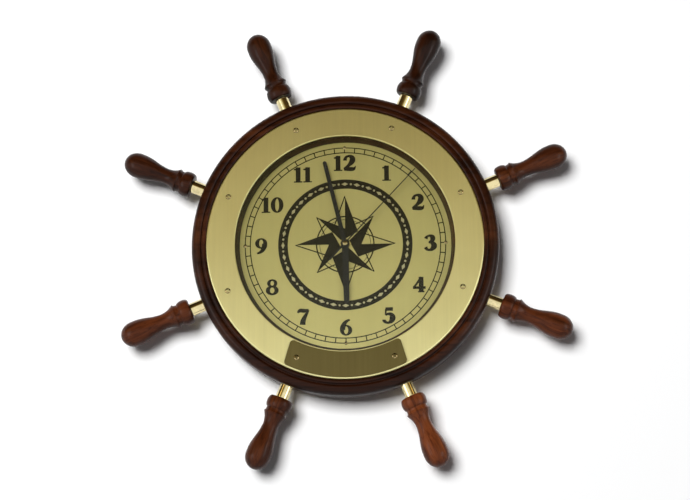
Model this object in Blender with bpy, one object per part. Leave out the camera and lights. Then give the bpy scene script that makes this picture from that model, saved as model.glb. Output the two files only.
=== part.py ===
"""Ship wheel wall clock.

A turned wooden wheel with eight handles on brass sleeves carries a brass bezel, a
glazed dial and a quartz movement with its whole gear train. The hands turn about the
Y axis and the dial faces -Y, with +Z up. Depths are measured from the front face of
the bezel towards the wall. All sizes are in metres.
"""

import math

import bmesh
import bpy
from mathutils import Matrix

# Clearances
FIT_GAP = 0.0003
PRESS_GAP = 0.0001
PIVOT_GAP = 0.00015
MERGE_DISTANCE = 0.000002

# Bezel, a flat brass ring
BEZEL_INNER_RADIUS = 0.1143
BEZEL_WIDTH = 0.0297
BEZEL_THICKNESS = 0.003
BEZEL_OUTER_CHAMFER = 0.0015
BEZEL_INNER_CHAMFER = 0.001

# Wooden wheel
RIM_BORDER_WIDTH = 0.016
RIM_THICKNESS = 0.0294
RIM_CROWN_SETBACK = 0.0006
RIM_BEAD_WIDTH = 0.0042
RIM_BEAD_HEIGHT = 0.0012
RIM_BEAD_ROOT_DEPTH = 0.0016
RIM_QUIRK_WIDTH = 0.001
RIM_QUIRK_DEPTH = 0.0024
RIM_RISE_WIDTH = 0.0014
RIM_RISE_DEPTH = 0.0003
RIM_SHOULDER_RADIUS = 0.008
RIM_HEEL_RADIUS = 0.010
REVEAL_TAPER = 0.0037
WEB_THICKNESS = 0.0047

# Glass and dial
GLASS_THICKNESS = 0.002
GLASS_OVERLAP = 0.0037
DIAL_THICKNESS = 0.001
MINUTE_TRACK_MARGIN = 0.0058
DIAL_PIN_COUNT = 4
DIAL_PIN_RADIUS = 0.0006
DIAL_PIN_BITE = 0.0025

# Spokes
SPOKE_COUNT = 8
FIRST_SPOKE_ANGLE = math.radians(22.5)
SLEEVE_RADIUS = 0.0068
SLEEVE_EXPOSED_LENGTH = 0.014
SLEEVE_SEAT_DEPTH = 0.004
TENON_RADIUS = 0.0047
TENON_DEPTH = 0.0213

# Handle, turned in wood; places along it are measured from its outer tip
HANDLE_LENGTH = 0.0775
TIP_LENGTH = 0.0145
SWELL_RADIUS = 0.013
SWELL_PLACE = 0.018
WAIST_RADIUS = 0.0081
WAIST_PLACE = 0.0475
FLARE_RADIUS = 0.0123
FLARE_PLACE = 0.0601
FILLET_WIDTH = 0.001
COLLAR_RADIUS = 0.0133
COLLAR_WIDTH = 0.0124
COLLAR_ROOT_RADIUS = 0.0106

# Screws of the bezel and of the name plate
BEZEL_SCREW_EDGE_DISTANCE = 0.013
BEZEL_SCREW_RADIUS = 0.0014
BEZEL_SCREW_LENGTH = 0.012
BEZEL_SCREW_HEAD_RADIUS = 0.0028
BEZEL_SCREW_HEAD_HEIGHT = 0.0011

# Name plate, a thin brass arc on the bezel; its straight ends lean outward and down
NAME_PLATE_END_LEAN = math.radians(16.6)
NAME_PLATE_END_DISTANCE = 0.0243
NAME_PLATE_THICKNESS = 0.0009
NAME_PLATE_CORNER_RADIUS = 0.0038

# Hands; their tips are placed by the minute track, and the hour hand's by the minute hand's
HOUR_HAND_SETBACK = 0.0285
HOUR_HAND_ROOT_WIDTH = 0.007
HOUR_HAND_TIP_WIDTH = 0.0058
HOUR_HAND_HUB_RADIUS = 0.0048
MINUTE_HAND_SETBACK = 0.013
MINUTE_HAND_ROOT_WIDTH = 0.0042
MINUTE_HAND_TIP_WIDTH = 0.0038
MINUTE_HAND_HUB_RADIUS = 0.0043
HAND_THICKNESS = 0.0004
HAND_SPACING = 0.0009
SECOND_HAND_OVERREACH = 0.004
SECOND_HAND_ROOT_WIDTH = 0.0013
SECOND_HAND_TIP_WIDTH = 0.0009
SECOND_HAND_TAIL_LENGTH = 0.024
SECOND_HAND_TAIL_ROOT_WIDTH = 0.0017
SECOND_HAND_TAIL_END_WIDTH = 0.0024
SECOND_HAND_HUB_RADIUS = 0.0019
SECOND_HAND_THICKNESS = 0.0003
SECOND_HAND_TUBE_LENGTH = 0.0004
MINUTE_NUT_RADIUS = 0.0024
MINUTE_NUT_THICKNESS = 0.0007
CAP_RADIUS = 0.0026
CAP_THICKNESS = 0.0006
HAND_GLASS_CLEARANCE = 0.0006

# Time shown at rest; the second hand is set by itself
REST_HOUR = 5
REST_MINUTE = 57.77
REST_SECOND = 7.2

# Threaded bush, nut and washer that clamp the movement to the dial
BUSH_RADIUS = 0.004
BUSH_BORE_RADIUS = 0.00285
BUSH_PROUD = 0.0006
NUT_ACROSS_FLATS = 0.011
NUT_THICKNESS = 0.002
RUBBER_WASHER_RADIUS = 0.009
RUBBER_WASHER_THICKNESS = 0.001

# Pipes and arbors, coaxial at the centre
HOUR_PIPE_RADIUS = 0.0025
HOUR_PIPE_BORE_RADIUS = 0.0019
MINUTE_PIPE_RADIUS = 0.0016
MINUTE_PIPE_BORE_RADIUS = 0.00075
SECOND_ARBOR_RADIUS = 0.0005
PIPE_PROUD = 0.0002
ARBOR_RADIUS = 0.0004
STEM_RADIUS = 0.0009

# Movement case
CASE_WALL = 0.0012
CASE_POST_RADIUS = 0.0015
PIVOT_HOLE_DEPTH = 0.0007
PLATE_OVERHANG = 0.0085
PLATE_SIDE_INSET = 0.002
POST_INSET = 0.0026
BATTERY_RADIUS = 0.00725
BATTERY_LENGTH = 0.0505
BATTERY_EDGE = 0.0006
BATTERY_NUB_RADIUS = 0.00275
BATTERY_NUB_LENGTH = 0.001
CONTACT_ROOM = 0.00155
CONTACT_THICKNESS = 0.0004
CONTACT_WIDTH = 0.008
CONTACT_HALF_HEIGHT = 0.005
CONTACT_BEND_HALF_HEIGHT = 0.003
KNOB_RADIUS = 0.0055
KNOB_HEIGHT = 0.0022
KNOB_GRIPS = 12
KNOB_GRIP_DEPTH = 0.0005

# Gear train
WHEEL_THICKNESS = 0.0008
LEVEL_GAP = 0.0006
MESH_SLACK = 0.0001
PINION_ADDENDUM = 0.75
WHEEL_ADDENDUM = 0.62
PINION_DEDENDUM = 1.1
WHEEL_DEDENDUM = 1.15
TOOTH_TIP_SHARE = 0.07
PINION_ROOT_SHARE = 0.3
MOTION_DISTANCE = 0.0096
TRAIN_DISTANCE = 0.0085
ROTOR_DISTANCE = 0.0072
WHEEL_CLEARANCE = 0.0006
ROTOR_ANGLE = math.radians(60.0)
CANNON_TEETH = 8
MINUTE_WHEEL_TEETH = 24
MINUTE_PINION_TEETH = 8
HOUR_WHEEL_TEETH = 32
SECOND_PINION_TEETH = 6
THIRD_WHEEL_TEETH = 45
THIRD_PINION_TEETH = 6
CENTRE_WHEEL_TEETH = 48
SECOND_WHEEL_TEETH = 36
INTERMEDIATE_PINION_TEETH = 6
INTERMEDIATE_WHEEL_TEETH = 30
ROTOR_PINION_TEETH = 6

# Motor
MAGNET_RADIUS = 0.003
MAGNET_THICKNESS = 0.0024
STATOR_AIR_GAP = 0.0005
STATOR_LOBE_WIDTH = 0.0014
STATOR_NECK_HALF_WIDTH = 0.0039
STATOR_YOKE_WIDTH = 0.004
STATOR_LEG_WIDTH = 0.0035
CORE_THICKNESS = 0.001
CORE_WIDTH = 0.0022
COIL_LENGTH = 0.0225
COIL_FLANGE_RADIUS = 0.0033
COIL_FLANGE_THICKNESS = 0.0008
COIL_TUBE_WALL = 0.0005
COIL_WINDING_RADIUS = 0.0029
CIRCUIT_BOARD_WIDTH = 0.0095
CIRCUIT_BOARD_LENGTH = 0.032
CIRCUIT_BOARD_THICKNESS = 0.0008
CHIP_RADIUS = 0.0028
CHIP_HEIGHT = 0.0012
CHIP_EDGE_DISTANCE = 0.0128
CRYSTAL_RADIUS = 0.001
CRYSTAL_LENGTH = 0.006
CRYSTAL_SINK = 0.0002

# Wooden ring behind the wheel, which stands the clock off the wall
BACK_RING_INSET = 0.032
BACK_RING_WIDTH = 0.024
BACK_RING_EDGE_RADIUS = 0.003
WALL_CLEARANCE = 0.0017
BACK_SCREW_COUNT = 4
BACK_SCREW_RADIUS = 0.002
BACK_SCREW_HEAD_RADIUS = 0.004
BACK_SCREW_HEAD_HEIGHT = 0.0024
BACK_SCREW_BITE = 0.008

# Hanger, a keyhole plate let into the ring
HANGER_LENGTH = 0.046
HANGER_WIDTH = 0.015
HANGER_THICKNESS = 0.0015
HANGER_CORNER_RADIUS = 0.003
HANGER_SCREW_EDGE_DISTANCE = 0.0048
HANGER_SCREW_RADIUS = 0.0013
HANGER_SCREW_HEAD_RADIUS = 0.0026
HANGER_SCREW_LENGTH = 0.0072
KEYHOLE_RADIUS = 0.0045
KEYHOLE_SLOT_RADIUS = 0.0023
KEYHOLE_SLOT_CORNER_RADIUS = 0.0022
KEYHOLE_SLOT_LENGTH = 0.0062
POCKET_MARGIN = 0.0016
POCKET_DEPTH = 0.0072
POCKET_HALF_LENGTH = 0.0065

# Facets; steps are those of an arc in a section or an outline
RING_SEGMENTS = 48
HANDLE_SEGMENTS = 12
SLEEVE_SEGMENTS = 12
PIPE_SEGMENTS = 12
BORE_SEGMENTS = 12
SMALL_SEGMENTS = 9
PIN_SEGMENTS = 6
CORNER_STEPS = 3
CURVE_STEPS = 4
HANDLE_TIP_STEPS = 5
EASED_EDGE_STEPS = 2

# Radii that follow from the sizes above
BEZEL_OUTER_RADIUS = BEZEL_INNER_RADIUS + BEZEL_WIDTH
BEZEL_SEAT_RADIUS = BEZEL_OUTER_RADIUS + FIT_GAP
RIM_OUTER_RADIUS = BEZEL_OUTER_RADIUS + RIM_BORDER_WIDTH
GLASS_RADIUS = BEZEL_INNER_RADIUS + GLASS_OVERLAP
DIAL_SEAT_RADIUS = BEZEL_INNER_RADIUS - REVEAL_TAPER
DIAL_RADIUS = DIAL_SEAT_RADIUS - FIT_GAP
MINUTE_TRACK_RADIUS = DIAL_RADIUS - MINUTE_TRACK_MARGIN
MINUTE_HAND_LENGTH = MINUTE_TRACK_RADIUS - MINUTE_HAND_SETBACK
HOUR_HAND_LENGTH = MINUTE_HAND_LENGTH - HOUR_HAND_SETBACK
SECOND_HAND_LENGTH = MINUTE_TRACK_RADIUS + SECOND_HAND_OVERREACH
BUSH_HOLE_RADIUS = BUSH_RADIUS + FIT_GAP
HANDLE_FACE_RADIUS = RIM_OUTER_RADIUS + SLEEVE_EXPOSED_LENGTH
HANDLE_TIP_RADIUS = HANDLE_FACE_RADIUS + HANDLE_LENGTH
SCREW_PITCH_RADIUS = BEZEL_OUTER_RADIUS - BEZEL_SCREW_EDGE_DISTANCE
BACK_RING_OUTER_RADIUS = RIM_OUTER_RADIUS - BACK_RING_INSET
BACK_RING_INNER_RADIUS = BACK_RING_OUTER_RADIUS - BACK_RING_WIDTH
BACK_RING_MID_RADIUS = (BACK_RING_OUTER_RADIUS + BACK_RING_INNER_RADIUS) / 2

# Heights above the dial's face, from the clamping nut up to the cap of the second hand
NUT_BOTTOM = FIT_GAP
NUT_TOP = NUT_BOTTOM + NUT_THICKNESS
BUSH_TOP = NUT_TOP + BUSH_PROUD
HOUR_HAND_BOTTOM = BUSH_TOP + FIT_GAP
HOUR_HAND_TOP = HOUR_HAND_BOTTOM + HAND_THICKNESS
HOUR_PIPE_TOP = HOUR_HAND_TOP + PIPE_PROUD
MINUTE_HAND_BOTTOM = HOUR_HAND_TOP + HAND_SPACING
MINUTE_HAND_TOP = MINUTE_HAND_BOTTOM + HAND_THICKNESS
MINUTE_NUT_BOTTOM = MINUTE_HAND_TOP + FIT_GAP
MINUTE_NUT_TOP = MINUTE_NUT_BOTTOM + MINUTE_NUT_THICKNESS
MINUTE_PIPE_TOP = MINUTE_NUT_TOP - PIPE_PROUD
SECOND_TUBE_BOTTOM = MINUTE_NUT_TOP + FIT_GAP
SECOND_HAND_BOTTOM = SECOND_TUBE_BOTTOM + SECOND_HAND_TUBE_LENGTH
SECOND_HAND_TOP = SECOND_HAND_BOTTOM + SECOND_HAND_THICKNESS
CAP_BOTTOM = SECOND_HAND_TOP + PRESS_GAP
CAP_TOP = CAP_BOTTOM + CAP_THICKNESS
DIAL_CAVITY_DEPTH = CAP_TOP + HAND_GLASS_CLEARANCE

# Depths behind the bezel's face
BEZEL_SEAT_DEPTH = BEZEL_THICKNESS + FIT_GAP
GLASS_LEDGE_DEPTH = BEZEL_SEAT_DEPTH + GLASS_THICKNESS + FIT_GAP
DIAL_DEPTH = GLASS_LEDGE_DEPTH + DIAL_CAVITY_DEPTH
WEB_DEPTH = DIAL_DEPTH + DIAL_THICKNESS + FIT_GAP
WEB_BACK_DEPTH = WEB_DEPTH + WEB_THICKNESS
RIM_BACK_DEPTH = RIM_CROWN_SETBACK + RIM_THICKNESS
SPOKE_DEPTH = (RIM_CROWN_SETBACK + RIM_BACK_DEPTH) / 2
RUBBER_WASHER_DEPTH = WEB_BACK_DEPTH + FIT_GAP
CASE_FRONT_DEPTH = RUBBER_WASHER_DEPTH + RUBBER_WASHER_THICKNESS + FIT_GAP
CASE_FLOOR_DEPTH = CASE_FRONT_DEPTH + CASE_WALL
LEVEL_PITCH = WHEEL_THICKNESS + LEVEL_GAP
HOUR_LEVEL, MOTION_LEVEL, PLATE_LEVEL, CENTRE_LEVEL, THIRD_LEVEL, SECOND_LEVEL, ROTOR_LEVEL = range(7)
BAY_END_DEPTH = CASE_FLOOR_DEPTH + LEVEL_GAP + LEVEL_PITCH * (ROTOR_LEVEL + 1)
COVER_DEPTH = BAY_END_DEPTH + FIT_GAP
COVER_BACK_DEPTH = COVER_DEPTH + CASE_WALL
KNOB_DEPTH = COVER_BACK_DEPTH + FIT_GAP
BATTERY_DEPTH = CASE_FLOOR_DEPTH + FIT_GAP + BATTERY_RADIUS
CASE_BACK_DEPTH = BATTERY_DEPTH + BATTERY_RADIUS
WALL_DEPTH = max(CASE_BACK_DEPTH, KNOB_DEPTH + KNOB_HEIGHT) + WALL_CLEARANCE
BACK_RING_DEPTH = RIM_BACK_DEPTH + FIT_GAP
NAME_PLATE_DEPTH = -FIT_GAP - NAME_PLATE_THICKNESS
HANDLE_FRONT_DEPTH = SPOKE_DEPTH - max(SWELL_RADIUS, COLLAR_RADIUS)
FRONT_DEPTH = min(HANDLE_FRONT_DEPTH, NAME_PLATE_DEPTH - BEZEL_SCREW_HEAD_HEIGHT)
ORIGIN_DEPTH = (FRONT_DEPTH + WALL_DEPTH) / 2

# Movement case, seen from the front, with the hands' axis at its middle
CASE_HALF = BATTERY_LENGTH / 2 + CONTACT_ROOM + CASE_WALL
BAY_HALF = CASE_HALF - CASE_WALL
BATTERY_Z = -BAY_HALF + FIT_GAP + BATTERY_RADIUS
DIVIDER_BOTTOM_Z = BATTERY_Z + BATTERY_RADIUS + FIT_GAP
DIVIDER_TOP_Z = DIVIDER_BOTTOM_Z + CASE_WALL

# Gear modules and the axes of the wheels, as x and z
CANNON_MODULE = 2 * (MOTION_DISTANCE - MESH_SLACK) / (CANNON_TEETH + MINUTE_WHEEL_TEETH)
HOUR_MODULE = 2 * (MOTION_DISTANCE - MESH_SLACK) / (MINUTE_PINION_TEETH + HOUR_WHEEL_TEETH)
THIRD_MODULE = 2 * (TRAIN_DISTANCE - MESH_SLACK) / (SECOND_PINION_TEETH + THIRD_WHEEL_TEETH)
CENTRE_MODULE = 2 * (TRAIN_DISTANCE - MESH_SLACK) / (THIRD_PINION_TEETH + CENTRE_WHEEL_TEETH)
CENTRE_TIP_RADIUS = CENTRE_MODULE * (CENTRE_WHEEL_TEETH / 2 + WHEEL_ADDENDUM)
INTERMEDIATE_DISTANCE = CENTRE_TIP_RADIUS + ARBOR_RADIUS + WHEEL_CLEARANCE
SECOND_MODULE = 2 * (INTERMEDIATE_DISTANCE - MESH_SLACK) / (INTERMEDIATE_PINION_TEETH + SECOND_WHEEL_TEETH)
ROTOR_MODULE = 2 * (ROTOR_DISTANCE - MESH_SLACK) / (ROTOR_PINION_TEETH + INTERMEDIATE_WHEEL_TEETH)
MINUTE_WHEEL_TIP_RADIUS = CANNON_MODULE * (MINUTE_WHEEL_TEETH / 2 + WHEEL_ADDENDUM)
HANDS_AXIS = (0.0, 0.0)
MINUTE_WHEEL_AXIS = (0.0, MOTION_DISTANCE)
THIRD_AXIS = (-TRAIN_DISTANCE, 0.0)
INTERMEDIATE_AXIS = (INTERMEDIATE_DISTANCE, 0.0)
ROTOR_AXIS = (
    INTERMEDIATE_DISTANCE + ROTOR_DISTANCE * math.cos(ROTOR_ANGLE),
    ROTOR_DISTANCE * math.sin(ROTOR_ANGLE),
)

# Motor places that follow from the wheels
STATOR_HOLE_RADIUS = MAGNET_RADIUS + STATOR_AIR_GAP
STATOR_LOBE_RADIUS = STATOR_HOLE_RADIUS + STATOR_LOBE_WIDTH
YOKE_BOTTOM_Z = max(ROTOR_AXIS[1] + STATOR_LOBE_RADIUS, MOTION_DISTANCE + STEM_RADIUS) + WHEEL_CLEARANCE
YOKE_TOP_Z = YOKE_BOTTOM_Z + STATOR_YOKE_WIDTH
COIL_Z = max(YOKE_TOP_Z, MOTION_DISTANCE + MINUTE_WHEEL_TIP_RADIUS) + WHEEL_CLEARANCE + COIL_FLANGE_RADIUS
COIL_CENTRE_X = 0.006
LEG_INNER_OFFSET = COIL_LENGTH / 2 + WHEEL_CLEARANCE
LEG_OUTER_OFFSET = LEG_INNER_OFFSET + STATOR_LEG_WIDTH
LEG_TOP_Z = COIL_Z + CORE_WIDTH

# Train plate, on posts of the case
PLATE_LEFT = -TRAIN_DISTANCE - PLATE_OVERHANG
PLATE_RIGHT = COIL_CENTRE_X + LEG_OUTER_OFFSET - PLATE_SIDE_INSET
PLATE_BOTTOM = DIVIDER_TOP_Z + CASE_WALL
PLATE_TOP = YOKE_TOP_Z - FIT_GAP

# Finishes: colour, roughness, metallic
TURNED_WOOD = ((0.115, 0.035, 0.016), 0.32, 0.0)
BRUSHED_BRASS = ((0.46, 0.39, 0.16), 0.34, 1.0)
POLISHED_BRASS = ((0.72, 0.60, 0.28), 0.12, 1.0)
AGED_BRASS = ((0.19, 0.14, 0.045), 0.42, 1.0)
DIAL_BRASS = ((0.36, 0.34, 0.15), 0.4, 0.8)
CLEAR_GLASS = ((0.9, 0.93, 0.9), 0.03, 0.0)
BLACK_PAINT = ((0.012, 0.012, 0.014), 0.35, 0.0)
STEEL = ((0.55, 0.55, 0.56), 0.3, 1.0)
RUBBER = ((0.02, 0.02, 0.02), 0.8, 0.0)
BLACK_PLASTIC = ((0.025, 0.025, 0.028), 0.45, 0.0)
WHITE_PLASTIC = ((0.75, 0.75, 0.72), 0.4, 0.0)
BATTERY_JACKET = ((0.03, 0.05, 0.12), 0.35, 0.0)
COPPER = ((0.75, 0.3, 0.12), 0.3, 1.0)
BOARD_GREEN = ((0.02, 0.16, 0.07), 0.5, 0.0)
FERRITE = ((0.06, 0.06, 0.065), 0.4, 0.2)


def clear_scene():
    """Remove whatever objects the file holds."""
    for thing in list(bpy.data.objects):
        bpy.data.objects.remove(thing, do_unlink=True)


def y_at(depth):
    """The y of a depth behind the bezel's face."""
    return depth - ORIGIN_DEPTH


def above_dial(height):
    """The depth of a height above the dial's face."""
    return DIAL_DEPTH - height


def level_front(level):
    """The depth at which a level of the gear train starts."""
    return CASE_FLOOR_DEPTH + LEVEL_GAP + level * LEVEL_PITCH


def level_back(level):
    """The depth at which a level of the gear train ends."""
    return level_front(level) + WHEEL_THICKNESS


def arc(centre, radii, start, end, steps):
    """Points along an elliptical arc; angles are in degrees, from the first axis."""
    points = []
    for step in range(steps + 1):
        angle = math.radians(start + (end - start) * step / steps)
        along = centre[0] + radii[0] * math.cos(angle)
        across = centre[1] + radii[1] * math.sin(angle)
        points.append((along, across))
    return points


def circle(radius, segments, centre=(0.0, 0.0)):
    """A closed round outline, as x and z."""
    return arc(centre, (radius, radius), 0, 360, segments)[:-1]


def rounded_box(left, right, bottom, top, radius):
    """A closed rectangle with round corners, as x and z."""
    corners = (
        (right - radius, top - radius, 0),
        (left + radius, top - radius, 90),
        (left + radius, bottom + radius, 180),
        (right - radius, bottom + radius, 270),
    )
    points = []
    for x, z, start in corners:
        points += arc((x, z), (radius, radius), start, start + 90, CORNER_STEPS)
    return points


def box(left, right, bottom, top):
    """A closed plain rectangle, as x and z."""
    return [(left, bottom), (right, bottom), (right, top), (left, top)]


def closed_mesh(bm):
    """Weld the doubles of a solid and turn its faces outward."""
    bmesh.ops.remove_doubles(bm, verts=bm.verts, dist=MERGE_DISTANCE)
    bmesh.ops.recalc_face_normals(bm, faces=bm.faces)
    return bm


def turned(profile, segments, axis="Y", closed=False):
    """A solid of revolution from (radius, place along the axis) points."""
    bm = bmesh.new()
    if axis == "Y":
        points = [(0.0, y_at(place), radius) for radius, place in profile]
        direction = (0.0, 1.0, 0.0)
    elif axis == "Z":
        points = [(0.0, -radius, place) for radius, place in profile]
        direction = (0.0, 0.0, 1.0)
    else:
        points = [(place, 0.0, radius) for radius, place in profile]
        direction = (1.0, 0.0, 0.0)
    verts = [bm.verts.new(point) for point in points]
    edges = [bm.edges.new(pair) for pair in zip(verts, verts[1:])]
    if closed:
        edges.append(bm.edges.new((verts[-1], verts[0])))
    bmesh.ops.spin(
        bm,
        geom=verts + edges,
        cent=(0.0, 0.0, 0.0),
        axis=direction,
        dvec=(0.0, 0.0, 0.0),
        angle=2 * math.pi,
        steps=segments,
        use_merge=False,
        use_duplicate=False,
    )
    return closed_mesh(bm)


def rod(radius, front, back, segments, axis="Y"):
    """A plain round rod."""
    profile = [(0.0, front), (radius, front), (radius, back), (0.0, back)]
    return turned(profile, segments, axis)


def tube(inner, outer, front, back, segments, axis="Y"):
    """A round tube or washer."""
    profile = [(inner, front), (outer, front), (outer, back), (inner, back)]
    return turned(profile, segments, axis, closed=True)


def prism(outline, front, back):
    """An outline in x and z, extruded from one depth to another."""
    bm = bmesh.new()
    face = bm.faces.new([bm.verts.new((x, y_at(front), z)) for x, z in outline])
    extruded = bmesh.ops.extrude_face_region(bm, geom=[face])["geom"]
    moved = [item for item in extruded if isinstance(item, bmesh.types.BMVert)]
    bmesh.ops.translate(bm, vec=(0.0, back - front, 0.0), verts=moved)
    return closed_mesh(bm)


def moved_to(bm, x=0.0, z=0.0, y=0.0):
    """The same solid, moved."""
    bmesh.ops.translate(bm, vec=(x, y, z), verts=bm.verts)
    return bm


def copies(bm, matrices):
    """One body of the same solid placed by each matrix, for solids that stay apart."""
    source = bpy.data.meshes.new("source")
    bm.to_mesh(source)
    bm.free()
    joined = bmesh.new()
    for matrix in matrices:
        start = len(joined.verts)
        joined.from_mesh(source)
        joined.verts.ensure_lookup_table()
        bmesh.ops.transform(joined, matrix=matrix, verts=joined.verts[start:])
    bpy.data.meshes.remove(source)
    return joined


def raw_object(name, bm):
    """A scene object that holds a solid."""
    mesh = bpy.data.meshes.new(name)
    bm.to_mesh(mesh)
    bm.free()
    thing = bpy.data.objects.new(name, mesh)
    bpy.context.collection.objects.link(thing)
    return thing


def combine(base, tool, operation):
    """Union with, or cut by, a tool that is then removed."""
    modifier = base.modifiers.new(operation.lower(), "BOOLEAN")
    modifier.operation = operation
    modifier.solver = "EXACT"
    modifier.object = tool
    graph = bpy.context.evaluated_depsgraph_get()
    graph.update()
    result = bpy.data.meshes.new_from_object(base.evaluated_get(graph))
    base.modifiers.clear()
    old_mesh, tool_mesh = base.data, tool.data
    base.data = result
    bpy.data.objects.remove(tool, do_unlink=True)
    bpy.data.meshes.remove(old_mesh)
    bpy.data.meshes.remove(tool_mesh)


def fused(name, solids, holes=()):
    """One body: the union of the solids, less the holes."""
    base = raw_object(name, solids[0])
    for solid in solids[1:]:
        combine(base, raw_object("tool", solid), "UNION")
    for hole in holes:
        combine(base, raw_object("tool", hole), "DIFFERENCE")
    base.data.name = name
    return base


def finished(thing, finish, parent=None):
    """Give a piece its own material, its shading and what carries it."""
    colour, roughness, metallic = finish
    material = bpy.data.materials.new(thing.name)
    material.use_nodes = True
    shader = material.node_tree.nodes["Principled BSDF"]
    shader.inputs["Base Color"].default_value = (*colour, 1.0)
    shader.inputs["Roughness"].default_value = roughness
    shader.inputs["Metallic"].default_value = metallic
    thing.data.materials.clear()
    thing.data.materials.append(material)
    thing.data.shade_smooth()
    thing.data.set_sharp_from_angle(angle=math.radians(32.0))
    if parent is not None:
        thing.parent = parent
    return thing


def spindle(name, axis):
    """An empty on the axis of the pieces that turn together."""
    empty = bpy.data.objects.new(name, None)
    empty.empty_display_size = 0.01
    empty.location = (axis[0], 0.0, axis[1])
    bpy.context.collection.objects.link(empty)
    return empty


def spoke_angles():
    """Clock angles of the spokes, clockwise from twelve as seen from the front."""
    return [FIRST_SPOKE_ANGLE + 2 * math.pi * i / SPOKE_COUNT for i in range(SPOKE_COUNT)]


def around(radius, angle):
    """The x and z of a clock angle on a circle about the hands' axis."""
    return radius * math.sin(angle), radius * math.cos(angle)


def wheel_profile():
    """The wooden wheel's section, from its middle outward and back along its rear."""
    bead_middle = (BEZEL_SEAT_RADIUS + RIM_BEAD_WIDTH / 2, RIM_BEAD_ROOT_DEPTH)
    bead = arc(bead_middle, (RIM_BEAD_WIDTH / 2, -RIM_BEAD_HEIGHT), 180, 0, CORNER_STEPS)
    quirk_start = BEZEL_SEAT_RADIUS + RIM_BEAD_WIDTH
    quirk_end = quirk_start + RIM_QUIRK_WIDTH
    shoulder = arc(
        (RIM_OUTER_RADIUS - RIM_SHOULDER_RADIUS, RIM_CROWN_SETBACK + RIM_SHOULDER_RADIUS),
        (RIM_SHOULDER_RADIUS, RIM_SHOULDER_RADIUS),
        -90,
        0,
        CURVE_STEPS,
    )
    heel = arc(
        (RIM_OUTER_RADIUS - RIM_HEEL_RADIUS, RIM_BACK_DEPTH - RIM_HEEL_RADIUS),
        (RIM_HEEL_RADIUS, RIM_HEEL_RADIUS),
        0,
        90,
        CORNER_STEPS,
    )
    return [
        (0.0, WEB_DEPTH),
        (DIAL_SEAT_RADIUS, WEB_DEPTH),
        (DIAL_SEAT_RADIUS, DIAL_DEPTH - FIT_GAP),
        (BEZEL_INNER_RADIUS, GLASS_LEDGE_DEPTH),
        (GLASS_RADIUS + FIT_GAP, GLASS_LEDGE_DEPTH),
        (GLASS_RADIUS + FIT_GAP, BEZEL_SEAT_DEPTH),
        (BEZEL_SEAT_RADIUS, BEZEL_SEAT_DEPTH),
        *bead,
        ((quirk_start + quirk_end) / 2, RIM_CROWN_SETBACK + RIM_QUIRK_DEPTH),
        (quirk_end + RIM_RISE_WIDTH, RIM_CROWN_SETBACK + RIM_RISE_DEPTH),
        *shoulder,
        *heel,
        (BACK_RING_INNER_RADIUS, RIM_BACK_DEPTH),
        (BACK_RING_INNER_RADIUS, WEB_BACK_DEPTH),
        (0.0, WEB_BACK_DEPTH),
    ]


def spoke_bores():
    """The stepped bores in the rim, for the sleeves and the handles' tenons."""
    tenon_bore = TENON_RADIUS + FIT_GAP
    sleeve_bore = SLEEVE_RADIUS + FIT_GAP
    floor = RIM_OUTER_RADIUS - TENON_DEPTH - FIT_GAP
    seat = RIM_OUTER_RADIUS - SLEEVE_SEAT_DEPTH
    outside = RIM_OUTER_RADIUS + SLEEVE_EXPOSED_LENGTH
    profile = [
        (0.0, floor),
        (tenon_bore, floor),
        (tenon_bore, seat),
        (sleeve_bore, seat),
        (sleeve_bore, outside),
        (0.0, outside),
    ]
    bore = turned(profile, BORE_SEGMENTS, "Z")
    lift = Matrix.Translation((0.0, y_at(SPOKE_DEPTH), 0.0))
    return copies(bore, [lift @ Matrix.Rotation(angle, 4, "Y") for angle in spoke_angles()])


def repeated(prefix, bm, placings, finish):
    """The same piece at several places and turns, each copy its own object."""
    source = bpy.data.meshes.new(prefix)
    bm.to_mesh(source)
    bm.free()
    for number, (location, angle) in enumerate(placings, start=1):
        thing = bpy.data.objects.new(f"{prefix}_{number}", source.copy())
        thing.location = location
        thing.rotation_euler = (0.0, angle, 0.0)
        bpy.context.collection.objects.link(thing)
        finished(thing, finish)
    bpy.data.meshes.remove(source)


def at_places(bm, places):
    """One body of the same solid at each x and z."""
    return copies(bm, [Matrix.Translation((x, 0.0, z)) for x, z in places])


def bezel_screw_places():
    """Every screw place on the bezel: those that hold it, then those of the name plate."""
    places = [around(SCREW_PITCH_RADIUS, angle) for angle in spoke_angles()]
    lower = sorted(places, key=lambda place: place[1])[:2]
    return [place for place in places if place not in lower], lower


def back_screw_places():
    """The screws that hold the back ring, between the hanger and the ring's foot."""
    step = 2 * math.pi / BACK_SCREW_COUNT
    return [around(BACK_RING_MID_RADIUS, step * (i + 0.5)) for i in range(BACK_SCREW_COUNT)]


def dial_pin_places():
    """The pins that hold the dial, on the outer line of the minute track."""
    step = 2 * math.pi / DIAL_PIN_COUNT
    return [around(MINUTE_TRACK_RADIUS, step * i) for i in range(DIAL_PIN_COUNT)]


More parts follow.
